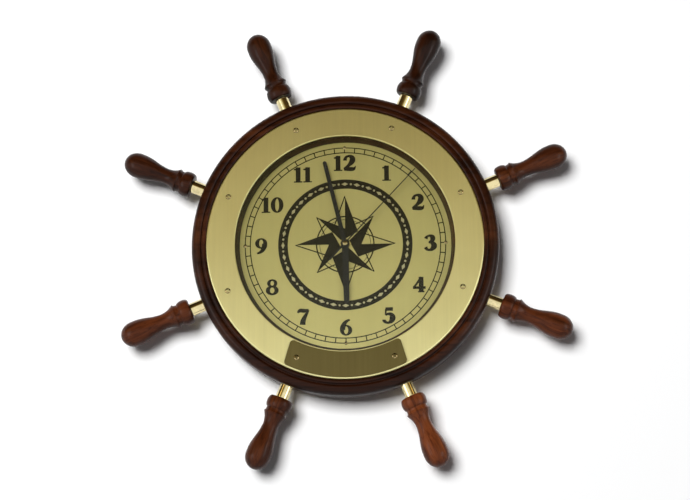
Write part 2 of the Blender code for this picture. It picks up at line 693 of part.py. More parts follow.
def make_wheel():
    """The wooden wheel, with its recesses in front and behind, bores and screw holes."""
    body = turned(wheel_profile(), RING_SEGMENTS)
    held, plated = bezel_screw_places()
    screw_hole = rod(BEZEL_SCREW_RADIUS + FIT_GAP, 0.0, BEZEL_SCREW_LENGTH + FIT_GAP, SMALL_SEGMENTS)
    pin_hole = rod(
        DIAL_PIN_RADIUS + FIT_GAP,
        DIAL_DEPTH,
        WEB_DEPTH + DIAL_PIN_BITE + FIT_GAP,
        PIN_SEGMENTS,
    )
    back_hole = rod(
        BACK_SCREW_RADIUS + FIT_GAP,
        RIM_BACK_DEPTH - BACK_SCREW_BITE - FIT_GAP,
        WALL_DEPTH,
        SMALL_SEGMENTS,
    )
    holes = (
        rod(BUSH_HOLE_RADIUS, DIAL_DEPTH, WALL_DEPTH, PIPE_SEGMENTS),
        spoke_bores(),
        at_places(screw_hole, held + plated),
        at_places(pin_hole, dial_pin_places()),
        at_places(back_hole, back_screw_places()),
    )
    finished(fused("wheel_rim", [body], holes), TURNED_WOOD)


def make_bezel():
    """The brass ring, chamfered inside and out."""
    inner, outer = BEZEL_INNER_RADIUS, BEZEL_OUTER_RADIUS
    profile = [
        (inner, BEZEL_INNER_CHAMFER),
        (inner + BEZEL_INNER_CHAMFER, 0.0),
        (outer - BEZEL_OUTER_CHAMFER, 0.0),
        (outer, BEZEL_OUTER_CHAMFER),
        (outer, BEZEL_THICKNESS),
        (inner, BEZEL_THICKNESS),
    ]
    held, plated = bezel_screw_places()
    hole = rod(BEZEL_SCREW_RADIUS + FIT_GAP, -BEZEL_THICKNESS, 2 * BEZEL_THICKNESS, SMALL_SEGMENTS)
    ring = turned(profile, RING_SEGMENTS, closed=True)
    finished(fused("bezel_ring", [ring], [at_places(hole, held + plated)]), BRUSHED_BRASS)


def dome_screw(seat, tip):
    """A round-headed screw whose head sits just in front of the seat's depth."""
    head = arc(
        (0.0, seat - FIT_GAP),
        (BEZEL_SCREW_HEAD_RADIUS, -BEZEL_SCREW_HEAD_HEIGHT + FIT_GAP),
        90,
        0,
        CORNER_STEPS,
    )
    profile = [
        *head,
        (BEZEL_SCREW_RADIUS, seat - FIT_GAP),
        (BEZEL_SCREW_RADIUS, tip - BEZEL_SCREW_RADIUS),
        (0.0, tip),
    ]
    return turned(profile, SMALL_SEGMENTS)


def make_bezel_screws():
    """Six screws hold the bezel, and two more hold the name plate on it."""
    held, plated = bezel_screw_places()
    for prefix, seat, places in (
        ("bezel_screw", 0.0, held),
        ("name_plate_screw", NAME_PLATE_DEPTH, plated),
    ):
        placings = [((x, 0.0, z), 0.0) for x, z in places]
        repeated(prefix, dome_screw(seat, BEZEL_SCREW_LENGTH), placings, POLISHED_BRASS)


def name_plate_outline():
    """An arc of the bezel's face with leaning ends and round corners, below the dial."""
    corner = NAME_PLATE_CORNER_RADIUS
    outer = BEZEL_OUTER_RADIUS - BEZEL_OUTER_CHAMFER - FIT_GAP
    inner = BEZEL_INNER_RADIUS + BEZEL_INNER_CHAMFER + FIT_GAP
    inset = NAME_PLATE_END_DISTANCE - corner
    low = NAME_PLATE_END_LEAN + math.asin(inset / (outer - corner))
    high = NAME_PLATE_END_LEAN + math.asin(inset / (inner + corner))
    low_centre = around(outer - corner, math.pi - low)
    high_centre = around(inner + corner, math.pi - high)
    low, high, lean = math.degrees(low), math.degrees(high), math.degrees(NAME_PLATE_END_LEAN)
    right = [
        *arc((0.0, 0.0), (outer, outer), -90, low - 90, CURVE_STEPS),
        *arc(low_centre, (corner, corner), low - 90, lean, CORNER_STEPS)[1:],
        *arc(high_centre, (corner, corner), lean, high + 90, CORNER_STEPS),
        *arc((0.0, 0.0), (inner, inner), high - 90, -90, CURVE_STEPS)[1:],
    ]
    left = [(-x, z) for x, z in reversed(right[1:-1])]
    return right + left


def make_name_plate():
    """The bare plate at the foot of the bezel."""
    plate = prism(name_plate_outline(), NAME_PLATE_DEPTH, -FIT_GAP)
    hole = rod(
        BEZEL_SCREW_RADIUS + FIT_GAP,
        NAME_PLATE_DEPTH - NAME_PLATE_THICKNESS,
        NAME_PLATE_THICKNESS,
        SMALL_SEGMENTS,
    )
    plated = bezel_screw_places()[1]
    finished(fused("name_plate", [plate], [at_places(hole, plated)]), AGED_BRASS)


def make_glass():
    """The glass, held between the bezel and its ledge."""
    pane = rod(GLASS_RADIUS, BEZEL_SEAT_DEPTH, BEZEL_SEAT_DEPTH + GLASS_THICKNESS, RING_SEGMENTS)
    finished(raw_object("glass", pane), CLEAR_GLASS)


def make_dial():
    """The dial plate, with the holes of the pins that hold it."""
    back = DIAL_DEPTH + DIAL_THICKNESS
    plate = rod(DIAL_RADIUS, DIAL_DEPTH, back, RING_SEGMENTS)
    start, end = DIAL_DEPTH - DIAL_THICKNESS, back + DIAL_THICKNESS
    pin_hole = rod(DIAL_PIN_RADIUS + FIT_GAP, start, end, PIN_SEGMENTS)
    bush_hole = rod(BUSH_HOLE_RADIUS, start, end, PIPE_SEGMENTS)
    holes = [bush_hole, at_places(pin_hole, dial_pin_places())]
    finished(fused("dial_plate", [plate], holes), DIAL_BRASS)


def handle_profile():
    """The turned handle's section, from its outer tip in to the end of its tenon."""
    points = arc((0.0, TIP_LENGTH), (SWELL_RADIUS, TIP_LENGTH), -90, 0, HANDLE_TIP_STEPS)
    for step in range(CURVE_STEPS + 1):
        share = step / CURVE_STEPS
        fall = (1 + math.cos(math.pi * share)) / 2
        radius = WAIST_RADIUS + (SWELL_RADIUS - WAIST_RADIUS) * fall
        points.append((radius, SWELL_PLACE + (WAIST_PLACE - SWELL_PLACE) * share))
    for step in range(1, CORNER_STEPS + 1):
        share = step / CORNER_STEPS
        radius = WAIST_RADIUS + (FLARE_RADIUS - WAIST_RADIUS) * share * share
        points.append((radius, WAIST_PLACE + (FLARE_PLACE - WAIST_PLACE) * share))
    points.append((FLARE_RADIUS, FLARE_PLACE + FILLET_WIDTH))
    collar_half = COLLAR_WIDTH / 2
    collar_middle = HANDLE_LENGTH - collar_half
    collar_rise = COLLAR_RADIUS - COLLAR_ROOT_RADIUS
    points += arc(
        (COLLAR_ROOT_RADIUS, collar_middle), (collar_rise, collar_half), -90, 90, CURVE_STEPS
    )
    tenon_end = HANDLE_LENGTH + SLEEVE_EXPOSED_LENGTH + TENON_DEPTH
    points += [(TENON_RADIUS, HANDLE_LENGTH), (TENON_RADIUS, tenon_end), (0.0, tenon_end)]
    return [(radius, HANDLE_TIP_RADIUS - place) for radius, place in points]


def make_spokes():
    """Eight handles, each tenoned through a brass sleeve into the rim."""
    handle = turned(handle_profile(), HANDLE_SEGMENTS, "Z")
    sleeve = tube(
        TENON_RADIUS + FIT_GAP,
        SLEEVE_RADIUS,
        RIM_OUTER_RADIUS - SLEEVE_SEAT_DEPTH + FIT_GAP,
        HANDLE_FACE_RADIUS - FIT_GAP,
        SLEEVE_SEGMENTS,
        "Z",
    )
    placings = [((0.0, y_at(SPOKE_DEPTH), 0.0), angle) for angle in spoke_angles()]
    repeated("handle", handle, placings, TURNED_WOOD)
    repeated("spoke_sleeve", sleeve, placings, POLISHED_BRASS)


def blade_outline(length, root_width, tip_width):
    """A tapering baton from the axis to a round tip, pointing to twelve."""
    tip_half = tip_width / 2
    tip = arc((0.0, length - tip_half), (tip_half, tip_half), 0, 180, CURVE_STEPS)
    return [(root_width / 2, 0.0), *tip, (-root_width / 2, 0.0)]


def make_hand(name, solids, bore_radius, bottom, top, parent, angle):
    """A flat hand, with the hole for its pipe."""
    hole = rod(
        bore_radius,
        above_dial(top + HAND_SPACING),
        above_dial(bottom - HAND_SPACING),
        PIPE_SEGMENTS,
    )
    hand = finished(fused(name, solids, [hole]), BLACK_PAINT, parent)
    hand.rotation_euler = (0.0, angle, 0.0)


def make_hands(hour_spindle, minute_spindle, second_spindle):
    """The three hands, the nut of the minute hand and the cap of the second hand."""
    front, back = above_dial(HOUR_HAND_TOP), above_dial(HOUR_HAND_BOTTOM)
    hour_blade = blade_outline(HOUR_HAND_LENGTH, HOUR_HAND_ROOT_WIDTH, HOUR_HAND_TIP_WIDTH)
    make_hand(
        "hour_hand",
        [
            prism(circle(HOUR_HAND_HUB_RADIUS, PIPE_SEGMENTS), front, back),
            prism(hour_blade, front, back),
        ],
        HOUR_PIPE_RADIUS + PRESS_GAP,
        HOUR_HAND_BOTTOM,
        HOUR_HAND_TOP,
        hour_spindle,
        2 * math.pi * (REST_HOUR + REST_MINUTE / 60) / 12,
    )
    front, back = above_dial(MINUTE_HAND_TOP), above_dial(MINUTE_HAND_BOTTOM)
    minute_blade = blade_outline(
        MINUTE_HAND_LENGTH, MINUTE_HAND_ROOT_WIDTH, MINUTE_HAND_TIP_WIDTH
    )
    make_hand(
        "minute_hand",
        [
            prism(circle(MINUTE_HAND_HUB_RADIUS, PIPE_SEGMENTS), front, back),
            prism(minute_blade, front, back),
        ],
        MINUTE_PIPE_RADIUS + PRESS_GAP,
        MINUTE_HAND_BOTTOM,
        MINUTE_HAND_TOP,
        minute_spindle,
        2 * math.pi * REST_MINUTE / 60,
    )
    front, back = above_dial(SECOND_HAND_TOP), above_dial(SECOND_HAND_BOTTOM)
    middle = (front + back) / 2
    needle = blade_outline(SECOND_HAND_LENGTH, SECOND_HAND_ROOT_WIDTH, SECOND_HAND_TIP_WIDTH)
    tail = blade_outline(
        SECOND_HAND_TAIL_LENGTH, SECOND_HAND_TAIL_ROOT_WIDTH, SECOND_HAND_TAIL_END_WIDTH
    )
    make_hand(
        "second_hand",
        [
            prism(circle(SECOND_HAND_HUB_RADIUS, PIPE_SEGMENTS), front, back),
            prism(needle, front, back),
            prism([(-x, -z) for x, z in tail], front, back),
            rod(2 * SECOND_ARBOR_RADIUS, middle, above_dial(SECOND_TUBE_BOTTOM), PIPE_SEGMENTS),
        ],
        SECOND_ARBOR_RADIUS + PRESS_GAP,
        SECOND_TUBE_BOTTOM,
        SECOND_HAND_TOP,
        second_spindle,
        2 * math.pi * REST_SECOND / 60,
    )
    nut = tube(
        MINUTE_PIPE_RADIUS + PRESS_GAP,
        MINUTE_NUT_RADIUS,
        above_dial(MINUTE_NUT_TOP),
        above_dial(MINUTE_NUT_BOTTOM),
        PIPE_SEGMENTS,
    )
    finished(raw_object("minute_hand_nut", nut), POLISHED_BRASS, minute_spindle)
    dome = arc(
        (0.0, above_dial(CAP_BOTTOM)), (CAP_RADIUS, -CAP_THICKNESS), 90, 0, CORNER_STEPS
    )
    cap = turned([*dome, (0.0, above_dial(CAP_BOTTOM))], PIPE_SEGMENTS)
    finished(raw_object("second_hand_cap", cap), POLISHED_BRASS, second_spindle)


def make_clamp():
    """The threaded bush, its hex nut in front and the rubber washer behind the web."""
    bush = tube(
        BUSH_BORE_RADIUS,
        BUSH_RADIUS,
        above_dial(BUSH_TOP),
        CASE_FLOOR_DEPTH - FIT_GAP,
        PIPE_SEGMENTS,
    )
    finished(raw_object("threaded_bush", bush), POLISHED_BRASS)
    hexagon = circle(NUT_ACROSS_FLATS / 2 / math.cos(math.pi / 6), 6)
    nut = prism(hexagon, above_dial(NUT_TOP), above_dial(NUT_BOTTOM))
    hole = rod(BUSH_HOLE_RADIUS, above_dial(NUT_TOP) - NUT_THICKNESS, DIAL_DEPTH, PIPE_SEGMENTS)
    finished(fused("hex_nut", [nut], [hole]), POLISHED_BRASS)
    rubber = tube(
        BUSH_HOLE_RADIUS,
        RUBBER_WASHER_RADIUS,
        RUBBER_WASHER_DEPTH,
        RUBBER_WASHER_DEPTH + RUBBER_WASHER_THICKNESS,
        PIPE_SEGMENTS,
    )
    finished(raw_object("rubber_washer", rubber), RUBBER)


def gear_outline(teeth, module, tooth_angle, addendum, dedendum, root_share):
    """A toothed outline with one tooth centred on an angle measured from +X to +Z.

    A root share of None leaves one point between the teeth, for fine wheels.
    """
    pitch_radius = module * teeth / 2
    tip = pitch_radius + addendum * module
    root = pitch_radius - dedendum * module
    pitch = 2 * math.pi / teeth
    points = []
    for tooth in range(teeth):
        middle = tooth_angle + tooth * pitch
        corners = [(tip, middle - TOOTH_TIP_SHARE * pitch), (tip, middle + TOOTH_TIP_SHARE * pitch)]
        if root_share is None:
            corners.append((root, middle + pitch / 2))
        else:
            corners.append((root, middle + root_share * pitch))
            corners.append((root, middle + pitch - root_share * pitch))
        points += [(radius * math.cos(angle), radius * math.sin(angle)) for radius, angle in corners]
    return points


def pinion(teeth, module, tooth_angle, front, back):
    """A small pinion."""
    outline = gear_outline(
        teeth, module, tooth_angle, PINION_ADDENDUM, PINION_DEDENDUM, PINION_ROOT_SHARE
    )
    return prism(outline, front, back)


def wheel(teeth, module, tooth_angle, front, back):
    """A fine-toothed wheel."""
    outline = gear_outline(teeth, module, tooth_angle, WHEEL_ADDENDUM, WHEEL_DEDENDUM, None)
    return prism(outline, front, back)


def direction(start, end):
    """The angle, from +X to +Z, at which one axis sees another."""
    return math.atan2(end[1] - start[1], end[0] - start[0])


def facing_gap(teeth, start, end):
    """The tooth angle that turns a gap, and not a tooth, towards another axis."""
    return direction(start, end) + math.pi / teeth


def arbor(radius, front, back):
    """A thin arbor between two bearings."""
    return rod(radius, front, back, SMALL_SEGMENTS)


def make_motion_work(hour_spindle, minute_spindle, setting_spindle):
    """The wheels that carry the minute pipe's turn, twelve to one, to the hour pipe."""
    reach = LEVEL_GAP / 4
    cannon_front = level_front(MOTION_LEVEL) - reach
    cannon_back = level_back(MOTION_LEVEL) + reach
    cannon = fused(
        "minute_pipe",
        [
            pinion(CANNON_TEETH, CANNON_MODULE, math.pi / 2, cannon_front, cannon_back),
            rod(
                MINUTE_PIPE_RADIUS,
                above_dial(MINUTE_PIPE_TOP),
                level_back(CENTRE_LEVEL) + reach,
                PIPE_SEGMENTS,
            ),
        ],
        [
            rod(
                MINUTE_PIPE_BORE_RADIUS,
                above_dial(MINUTE_PIPE_TOP) - LEVEL_PITCH,
                level_back(THIRD_LEVEL),
                SMALL_SEGMENTS,
            )
        ],
    )
    finished(cannon, WHITE_PLASTIC, minute_spindle)

    hour_phase = facing_gap(HOUR_WHEEL_TEETH, HANDS_AXIS, MINUTE_WHEEL_AXIS)
    hour_wheel = fused(
        "hour_wheel",
        [
            wheel(
                HOUR_WHEEL_TEETH,
                HOUR_MODULE,
                hour_phase,
                level_front(HOUR_LEVEL),
                level_back(HOUR_LEVEL),
            ),
            rod(
                HOUR_PIPE_RADIUS,
                above_dial(HOUR_PIPE_TOP),
                level_back(HOUR_LEVEL) - WHEEL_THICKNESS / 2,
                PIPE_SEGMENTS,
            ),
        ],
        [
            rod(
                HOUR_PIPE_BORE_RADIUS,
                above_dial(HOUR_PIPE_TOP) - LEVEL_PITCH,
                level_front(MOTION_LEVEL),
                PIPE_SEGMENTS,
            )
        ],
    )
    finished(hour_wheel, WHITE_PLASTIC, hour_spindle)

    minute_phase = facing_gap(MINUTE_WHEEL_TEETH, MINUTE_WHEEL_AXIS, HANDS_AXIS)
    minute_wheel = fused(
        "minute_wheel",
        [
            wheel(
                MINUTE_WHEEL_TEETH,
                CANNON_MODULE,
                minute_phase,
                level_front(MOTION_LEVEL),
                level_back(MOTION_LEVEL),
            ),
            pinion(
                MINUTE_PINION_TEETH,
                HOUR_MODULE,
                -math.pi / 2,
                level_front(HOUR_LEVEL) - reach,
                level_front(MOTION_LEVEL) + WHEEL_THICKNESS / 2,
            ),
            arbor(
                STEM_RADIUS,
                CASE_FLOOR_DEPTH - PIVOT_HOLE_DEPTH + FIT_GAP,
                KNOB_DEPTH + KNOB_HEIGHT - FIT_GAP,
            ),
        ],
    )
    finished(minute_wheel, WHITE_PLASTIC, setting_spindle)

    grips = []
    for grip in range(KNOB_GRIPS):
        angle = 2 * math.pi * grip / KNOB_GRIPS
        dip = KNOB_RADIUS - KNOB_GRIP_DEPTH
        for radius, share in ((KNOB_RADIUS, 0.0), (KNOB_RADIUS, 0.5), (dip, 0.75)):
            turn = angle + share * 2 * math.pi / KNOB_GRIPS
            grips.append((radius * math.cos(turn), radius * math.sin(turn)))
    knob = prism(grips, KNOB_DEPTH, KNOB_DEPTH + KNOB_HEIGHT)
    hole = rod(
        STEM_RADIUS + PRESS_GAP, KNOB_DEPTH - KNOB_HEIGHT, KNOB_DEPTH + 2 * KNOB_HEIGHT, SMALL_SEGMENTS
    )
    finished(fused("setting_knob", [knob], [hole]), BLACK_PLASTIC, setting_spindle)


def make_going_train(second_spindle, third_spindle, centre_spindle, intermediate_spindle):
    """The wheels between the motor and the hands, sixty to one from second to minute."""
    reach = LEVEL_GAP / 4
    pivot_front = level_front(PLATE_LEVEL) + FIT_GAP
    pivot_back = COVER_DEPTH + PIVOT_HOLE_DEPTH - FIT_GAP
    second_phase = facing_gap(SECOND_WHEEL_TEETH, HANDS_AXIS, INTERMEDIATE_AXIS)
    second_wheel = fused(
        "second_wheel",
        [
            wheel(
                SECOND_WHEEL_TEETH,
                SECOND_MODULE,
                second_phase,
                level_front(SECOND_LEVEL),
                level_back(SECOND_LEVEL),
            ),
            pinion(
                SECOND_PINION_TEETH,
                THIRD_MODULE,
                math.pi,
                level_front(THIRD_LEVEL) - reach,
                level_front(SECOND_LEVEL) + WHEEL_THICKNESS / 2,
            ),
            arbor(SECOND_ARBOR_RADIUS, above_dial(SECOND_HAND_TOP), pivot_back),
        ],
    )
    finished(second_wheel, WHITE_PLASTIC, second_spindle)

    third_phase = facing_gap(THIRD_WHEEL_TEETH, THIRD_AXIS, HANDS_AXIS)
    third_wheel = fused(
        "third_wheel",
        [
            wheel(
                THIRD_WHEEL_TEETH,
                THIRD_MODULE,
                third_phase,
                level_front(THIRD_LEVEL),
                level_back(THIRD_LEVEL),
            ),
            pinion(
                THIRD_PINION_TEETH,
                CENTRE_MODULE,
                0.0,
                level_front(CENTRE_LEVEL) - reach,
                level_front(THIRD_LEVEL) + WHEEL_THICKNESS / 2,
            ),
            arbor(ARBOR_RADIUS, pivot_front, pivot_back),
        ],
    )
    finished(third_wheel, WHITE_PLASTIC, third_spindle)

    centre_phase = facing_gap(CENTRE_WHEEL_TEETH, HANDS_AXIS, THIRD_AXIS)
    centre_wheel = fused(
        "centre_wheel",
        [
            wheel(
                CENTRE_WHEEL_TEETH,
                CENTRE_MODULE,
                centre_phase,
                level_front(CENTRE_LEVEL),
                level_back(CENTRE_LEVEL),
            )
        ],
        [
            rod(
                MINUTE_PIPE_RADIUS + PIVOT_GAP,
                level_front(PLATE_LEVEL),
                level_back(THIRD_LEVEL),
                PIPE_SEGMENTS,
            )
        ],
    )
    finished(centre_wheel, WHITE_PLASTIC, centre_spindle)

    intermediate_phase = facing_gap(INTERMEDIATE_WHEEL_TEETH, INTERMEDIATE_AXIS, ROTOR_AXIS)
    intermediate_wheel = fused(
        "intermediate_wheel",
        [
            wheel(
                INTERMEDIATE_WHEEL_TEETH,
                ROTOR_MODULE,
                intermediate_phase,
                level_front(ROTOR_LEVEL),
                level_back(ROTOR_LEVEL),
            ),
            pinion(
                INTERMEDIATE_PINION_TEETH,
                SECOND_MODULE,
                math.pi,
                level_front(SECOND_LEVEL) - reach,
                level_front(ROTOR_LEVEL) + WHEEL_THICKNESS / 2,
            ),
            arbor(ARBOR_RADIUS, pivot_front, pivot_back),
        ],
    )
    finished(intermediate_wheel, WHITE_PLASTIC, intermediate_spindle)


def make_motor(rotor_spindle):
    """The stepping motor: rotor, stator, coil and core."""
    reach = LEVEL_GAP / 4
    rotor_pinion = fused(
        "rotor_pinion",
        [
            pinion(
                ROTOR_PINION_TEETH,
                ROTOR_MODULE,
                direction(ROTOR_AXIS, INTERMEDIATE_AXIS),
                level_front(ROTOR_LEVEL) - reach,
                level_back(ROTOR_LEVEL) + reach,
            ),
            arbor(
                ARBOR_RADIUS,
                level_front(PLATE_LEVEL) + FIT_GAP,
                COVER_DEPTH + PIVOT_HOLE_DEPTH - FIT_GAP,
            ),
        ],
    )
    finished(rotor_pinion, WHITE_PLASTIC, rotor_spindle)
    middle = (level_front(THIRD_LEVEL) + level_back(THIRD_LEVEL)) / 2
    magnet = tube(
        ARBOR_RADIUS + PRESS_GAP,
        MAGNET_RADIUS,
        middle - MAGNET_THICKNESS / 2,
        middle + MAGNET_THICKNESS / 2,
        PIPE_SEGMENTS,
    )
    finished(raw_object("rotor_magnet", magnet), FERRITE, rotor_spindle)

    front, back = level_front(THIRD_LEVEL), level_back(THIRD_LEVEL)
    rotor_x, rotor_z = ROTOR_AXIS
    left = COIL_CENTRE_X - LEG_OUTER_OFFSET
    right = COIL_CENTRE_X + LEG_OUTER_OFFSET
    neck = STATOR_NECK_HALF_WIDTH
    stator = fused(
        "stator",
        [
            prism(
                [
                    (left, YOKE_BOTTOM_Z),
                    (right, YOKE_BOTTOM_Z),
                    (right, LEG_TOP_Z),
                    (right - STATOR_LEG_WIDTH, LEG_TOP_Z),
                    (right - STATOR_LEG_WIDTH, YOKE_TOP_Z),
                    (left + STATOR_LEG_WIDTH, YOKE_TOP_Z),
                    (left + STATOR_LEG_WIDTH, LEG_TOP_Z),
                    (left, LEG_TOP_Z),
                ],
                front,
                back,
            ),
            prism(box(rotor_x - neck, rotor_x + neck, rotor_z, YOKE_TOP_Z - CORE_WIDTH), front, back),
            prism(circle(STATOR_LOBE_RADIUS, PIPE_SEGMENTS, ROTOR_AXIS), front, back),
        ],
        [
            prism(
                circle(STATOR_HOLE_RADIUS, PIPE_SEGMENTS, ROTOR_AXIS),
                front - WHEEL_THICKNESS,
                back + WHEEL_THICKNESS,
            )
        ],
    )
    finished(stator, STEEL)

    core_back = front - FIT_GAP
    core_front = core_back - CORE_THICKNESS
    core = prism(
        box(left + FIT_GAP, right - FIT_GAP, COIL_Z - CORE_WIDTH / 2, COIL_Z + CORE_WIDTH / 2),
        core_front,
        core_back,
    )
    finished(raw_object("coil_core", core), STEEL)

    coil_y = y_at((core_front + core_back) / 2)
    bore = math.hypot(CORE_WIDTH, CORE_THICKNESS) / 2 + FIT_GAP
    tube_radius = bore + COIL_TUBE_WALL
    end = COIL_LENGTH / 2
    inner_end = end - COIL_FLANGE_THICKNESS
    spool = [
        (bore, -end),
        (COIL_FLANGE_RADIUS, -end),
        (COIL_FLANGE_RADIUS, -inner_end),
        (tube_radius, -inner_end),
        (tube_radius, inner_end),
        (COIL_FLANGE_RADIUS, inner_end),
        (COIL_FLANGE_RADIUS, end),
        (bore, end),
    ]
    bobbin = moved_to(turned(spool, PIPE_SEGMENTS, "X", closed=True), COIL_CENTRE_X, COIL_Z, coil_y)
    finished(raw_object("coil_bobbin", bobbin), WHITE_PLASTIC)
    winding = tube(
        tube_radius + FIT_GAP,
        COIL_WINDING_RADIUS,
        -inner_end + FIT_GAP,
        inner_end - FIT_GAP,
        PIPE_SEGMENTS,
        "X",
    )
    winding = moved_to(winding, COIL_CENTRE_X, COIL_Z, coil_y)
    finished(raw_object("coil_winding", winding), COPPER)


def plate_post_places():
    """Where the case's posts carry the train plate."""
    return [
        (x, z)
        for x in (PLATE_LEFT + POST_INSET, PLATE_RIGHT - POST_INSET)
        for z in (PLATE_BOTTOM + POST_INSET, PLATE_TOP - POST_INSET)
    ]


def board_box():
    """The circuit board's edges: left, right, bottom and top."""
    left = -BAY_HALF + FIT_GAP
    bottom = DIVIDER_TOP_Z + FIT_GAP
    return left, left + CIRCUIT_BOARD_WIDTH, bottom, bottom + CIRCUIT_BOARD_LENGTH


def make_case():
    """The movement's front case, with a bay for the train and one for the battery."""
    half, bay = CASE_HALF, BAY_HALF
    shell = prism(rounded_box(-half, half, -half, half, 2 * CASE_WALL), CASE_FRONT_DEPTH, CASE_BACK_DEPTH)
    post_end = level_front(PLATE_LEVEL) - FIT_GAP
    post = rod(CASE_POST_RADIUS, CASE_FLOOR_DEPTH - CASE_WALL / 2, post_end, SMALL_SEGMENTS)
    board_left, board_right, board_bottom, board_top = board_box()
    board_x = (board_left + board_right) / 2
    board_post = rod(
        CASE_POST_RADIUS, CASE_FLOOR_DEPTH - CASE_WALL / 2, board_front_depth() - FIT_GAP, SMALL_SEGMENTS
    )
    posts = at_places(post, plate_post_places())
    board_places = [(board_x, board_bottom + POST_INSET), (board_x, board_top - POST_INSET)]
    board_posts = at_places(board_post, board_places)
    step = prism(box(-2 * half, 2 * half, DIVIDER_TOP_Z, 2 * half), BAY_END_DEPTH, WALL_DEPTH)
    train_bay = prism(box(-bay, bay, DIVIDER_TOP_Z, bay), CASE_FLOOR_DEPTH, WALL_DEPTH)
    battery_bay = prism(box(-bay, bay, -bay, DIVIDER_BOTTOM_Z), CASE_FLOOR_DEPTH, WALL_DEPTH)
    bush_hole = rod(BUSH_RADIUS + PRESS_GAP, WEB_BACK_DEPTH, level_front(HOUR_LEVEL), PIPE_SEGMENTS)
    stem_hole = rod(
        STEM_RADIUS + PIVOT_GAP,
        CASE_FLOOR_DEPTH - PIVOT_HOLE_DEPTH,
        level_front(HOUR_LEVEL),
        SMALL_SEGMENTS,
    )
    moved_to(stem_hole, *MINUTE_WHEEL_AXIS)
    case = fused("movement_case", [shell], [step, train_bay, battery_bay])
    combine(case, raw_object("tool", posts), "UNION")
    combine(case, raw_object("tool", board_posts), "UNION")
    combine(case, raw_object("tool", bush_hole), "DIFFERENCE")
    combine(case, raw_object("tool", stem_hole), "DIFFERENCE")
    finished(case, BLACK_PLASTIC)


def make_cover():
    """The movement's back cover, with a locating frame and blind pivot holes."""
    half = CASE_HALF
    bay = BAY_HALF - FIT_GAP
    bottom = DIVIDER_TOP_Z + FIT_GAP
    plate = prism(rounded_box(-half, half, bottom, half, 2 * CASE_WALL), COVER_DEPTH, COVER_BACK_DEPTH)
    frame_front = COVER_DEPTH - CASE_WALL
    frame = prism(box(-bay, bay, bottom, bay), frame_front, COVER_DEPTH + CASE_WALL / 2)
    inside = prism(
        box(-bay + CASE_WALL, bay - CASE_WALL, bottom + CASE_WALL, bay - CASE_WALL),
        frame_front - CASE_WALL,
        COVER_DEPTH,
    )
    front, back = COVER_DEPTH - CASE_WALL, COVER_DEPTH + PIVOT_HOLE_DEPTH
    pivots = []
    for axis, radius in (
        (HANDS_AXIS, SECOND_ARBOR_RADIUS),
        (THIRD_AXIS, ARBOR_RADIUS),
        (INTERMEDIATE_AXIS, ARBOR_RADIUS),
        (ROTOR_AXIS, ARBOR_RADIUS),
    ):
        pivots.append(moved_to(rod(radius + PIVOT_GAP, front, back, SMALL_SEGMENTS), *axis))
    stem = rod(STEM_RADIUS + PIVOT_GAP, front, COVER_BACK_DEPTH + CASE_WALL, SMALL_SEGMENTS)
    pivots.append(moved_to(stem, *MINUTE_WHEEL_AXIS))
    finished(fused("movement_back_cover", [plate, frame], [inside, *pivots]), BLACK_PLASTIC)


def make_train_plate():
    """The plate inside the case that carries the front pivots and the stator."""
    front, back = level_front(PLATE_LEVEL), level_back(PLATE_LEVEL)
    outline = rounded_box(PLATE_LEFT, PLATE_RIGHT, PLATE_BOTTOM, PLATE_TOP, CASE_POST_RADIUS)
    plate = prism(outline, front, back)
    stator_post = rod(
        CASE_POST_RADIUS, back - WHEEL_THICKNESS / 2, level_front(THIRD_LEVEL) - FIT_GAP, SMALL_SEGMENTS
    )
    post_z = (YOKE_BOTTOM_Z + YOKE_TOP_Z) / 2
    left = COIL_CENTRE_X - LEG_OUTER_OFFSET + STATOR_LEG_WIDTH / 2
    right = COIL_CENTRE_X + LEG_OUTER_OFFSET - STATOR_LEG_WIDTH
    posts = at_places(stator_post, [(left, post_z), (right - CASE_POST_RADIUS, post_z)])
    start, end = front - LEVEL_GAP, back + LEVEL_GAP
    holes = [rod(MINUTE_PIPE_RADIUS + PIVOT_GAP, start, end, PIPE_SEGMENTS)]
    for axis, radius in (
        (MINUTE_WHEEL_AXIS, STEM_RADIUS),
        (THIRD_AXIS, ARBOR_RADIUS),
        (INTERMEDIATE_AXIS, ARBOR_RADIUS),
        (ROTOR_AXIS, ARBOR_RADIUS),
    ):
        holes.append(moved_to(rod(radius + PIVOT_GAP, start, end, SMALL_SEGMENTS), *axis))
    finished(fused("train_plate", [plate, posts], holes), WHITE_PLASTIC)


def board_front_depth():
    """The depth of the circuit board's front face, on its posts."""
    return CASE_FLOOR_DEPTH + LEVEL_PITCH


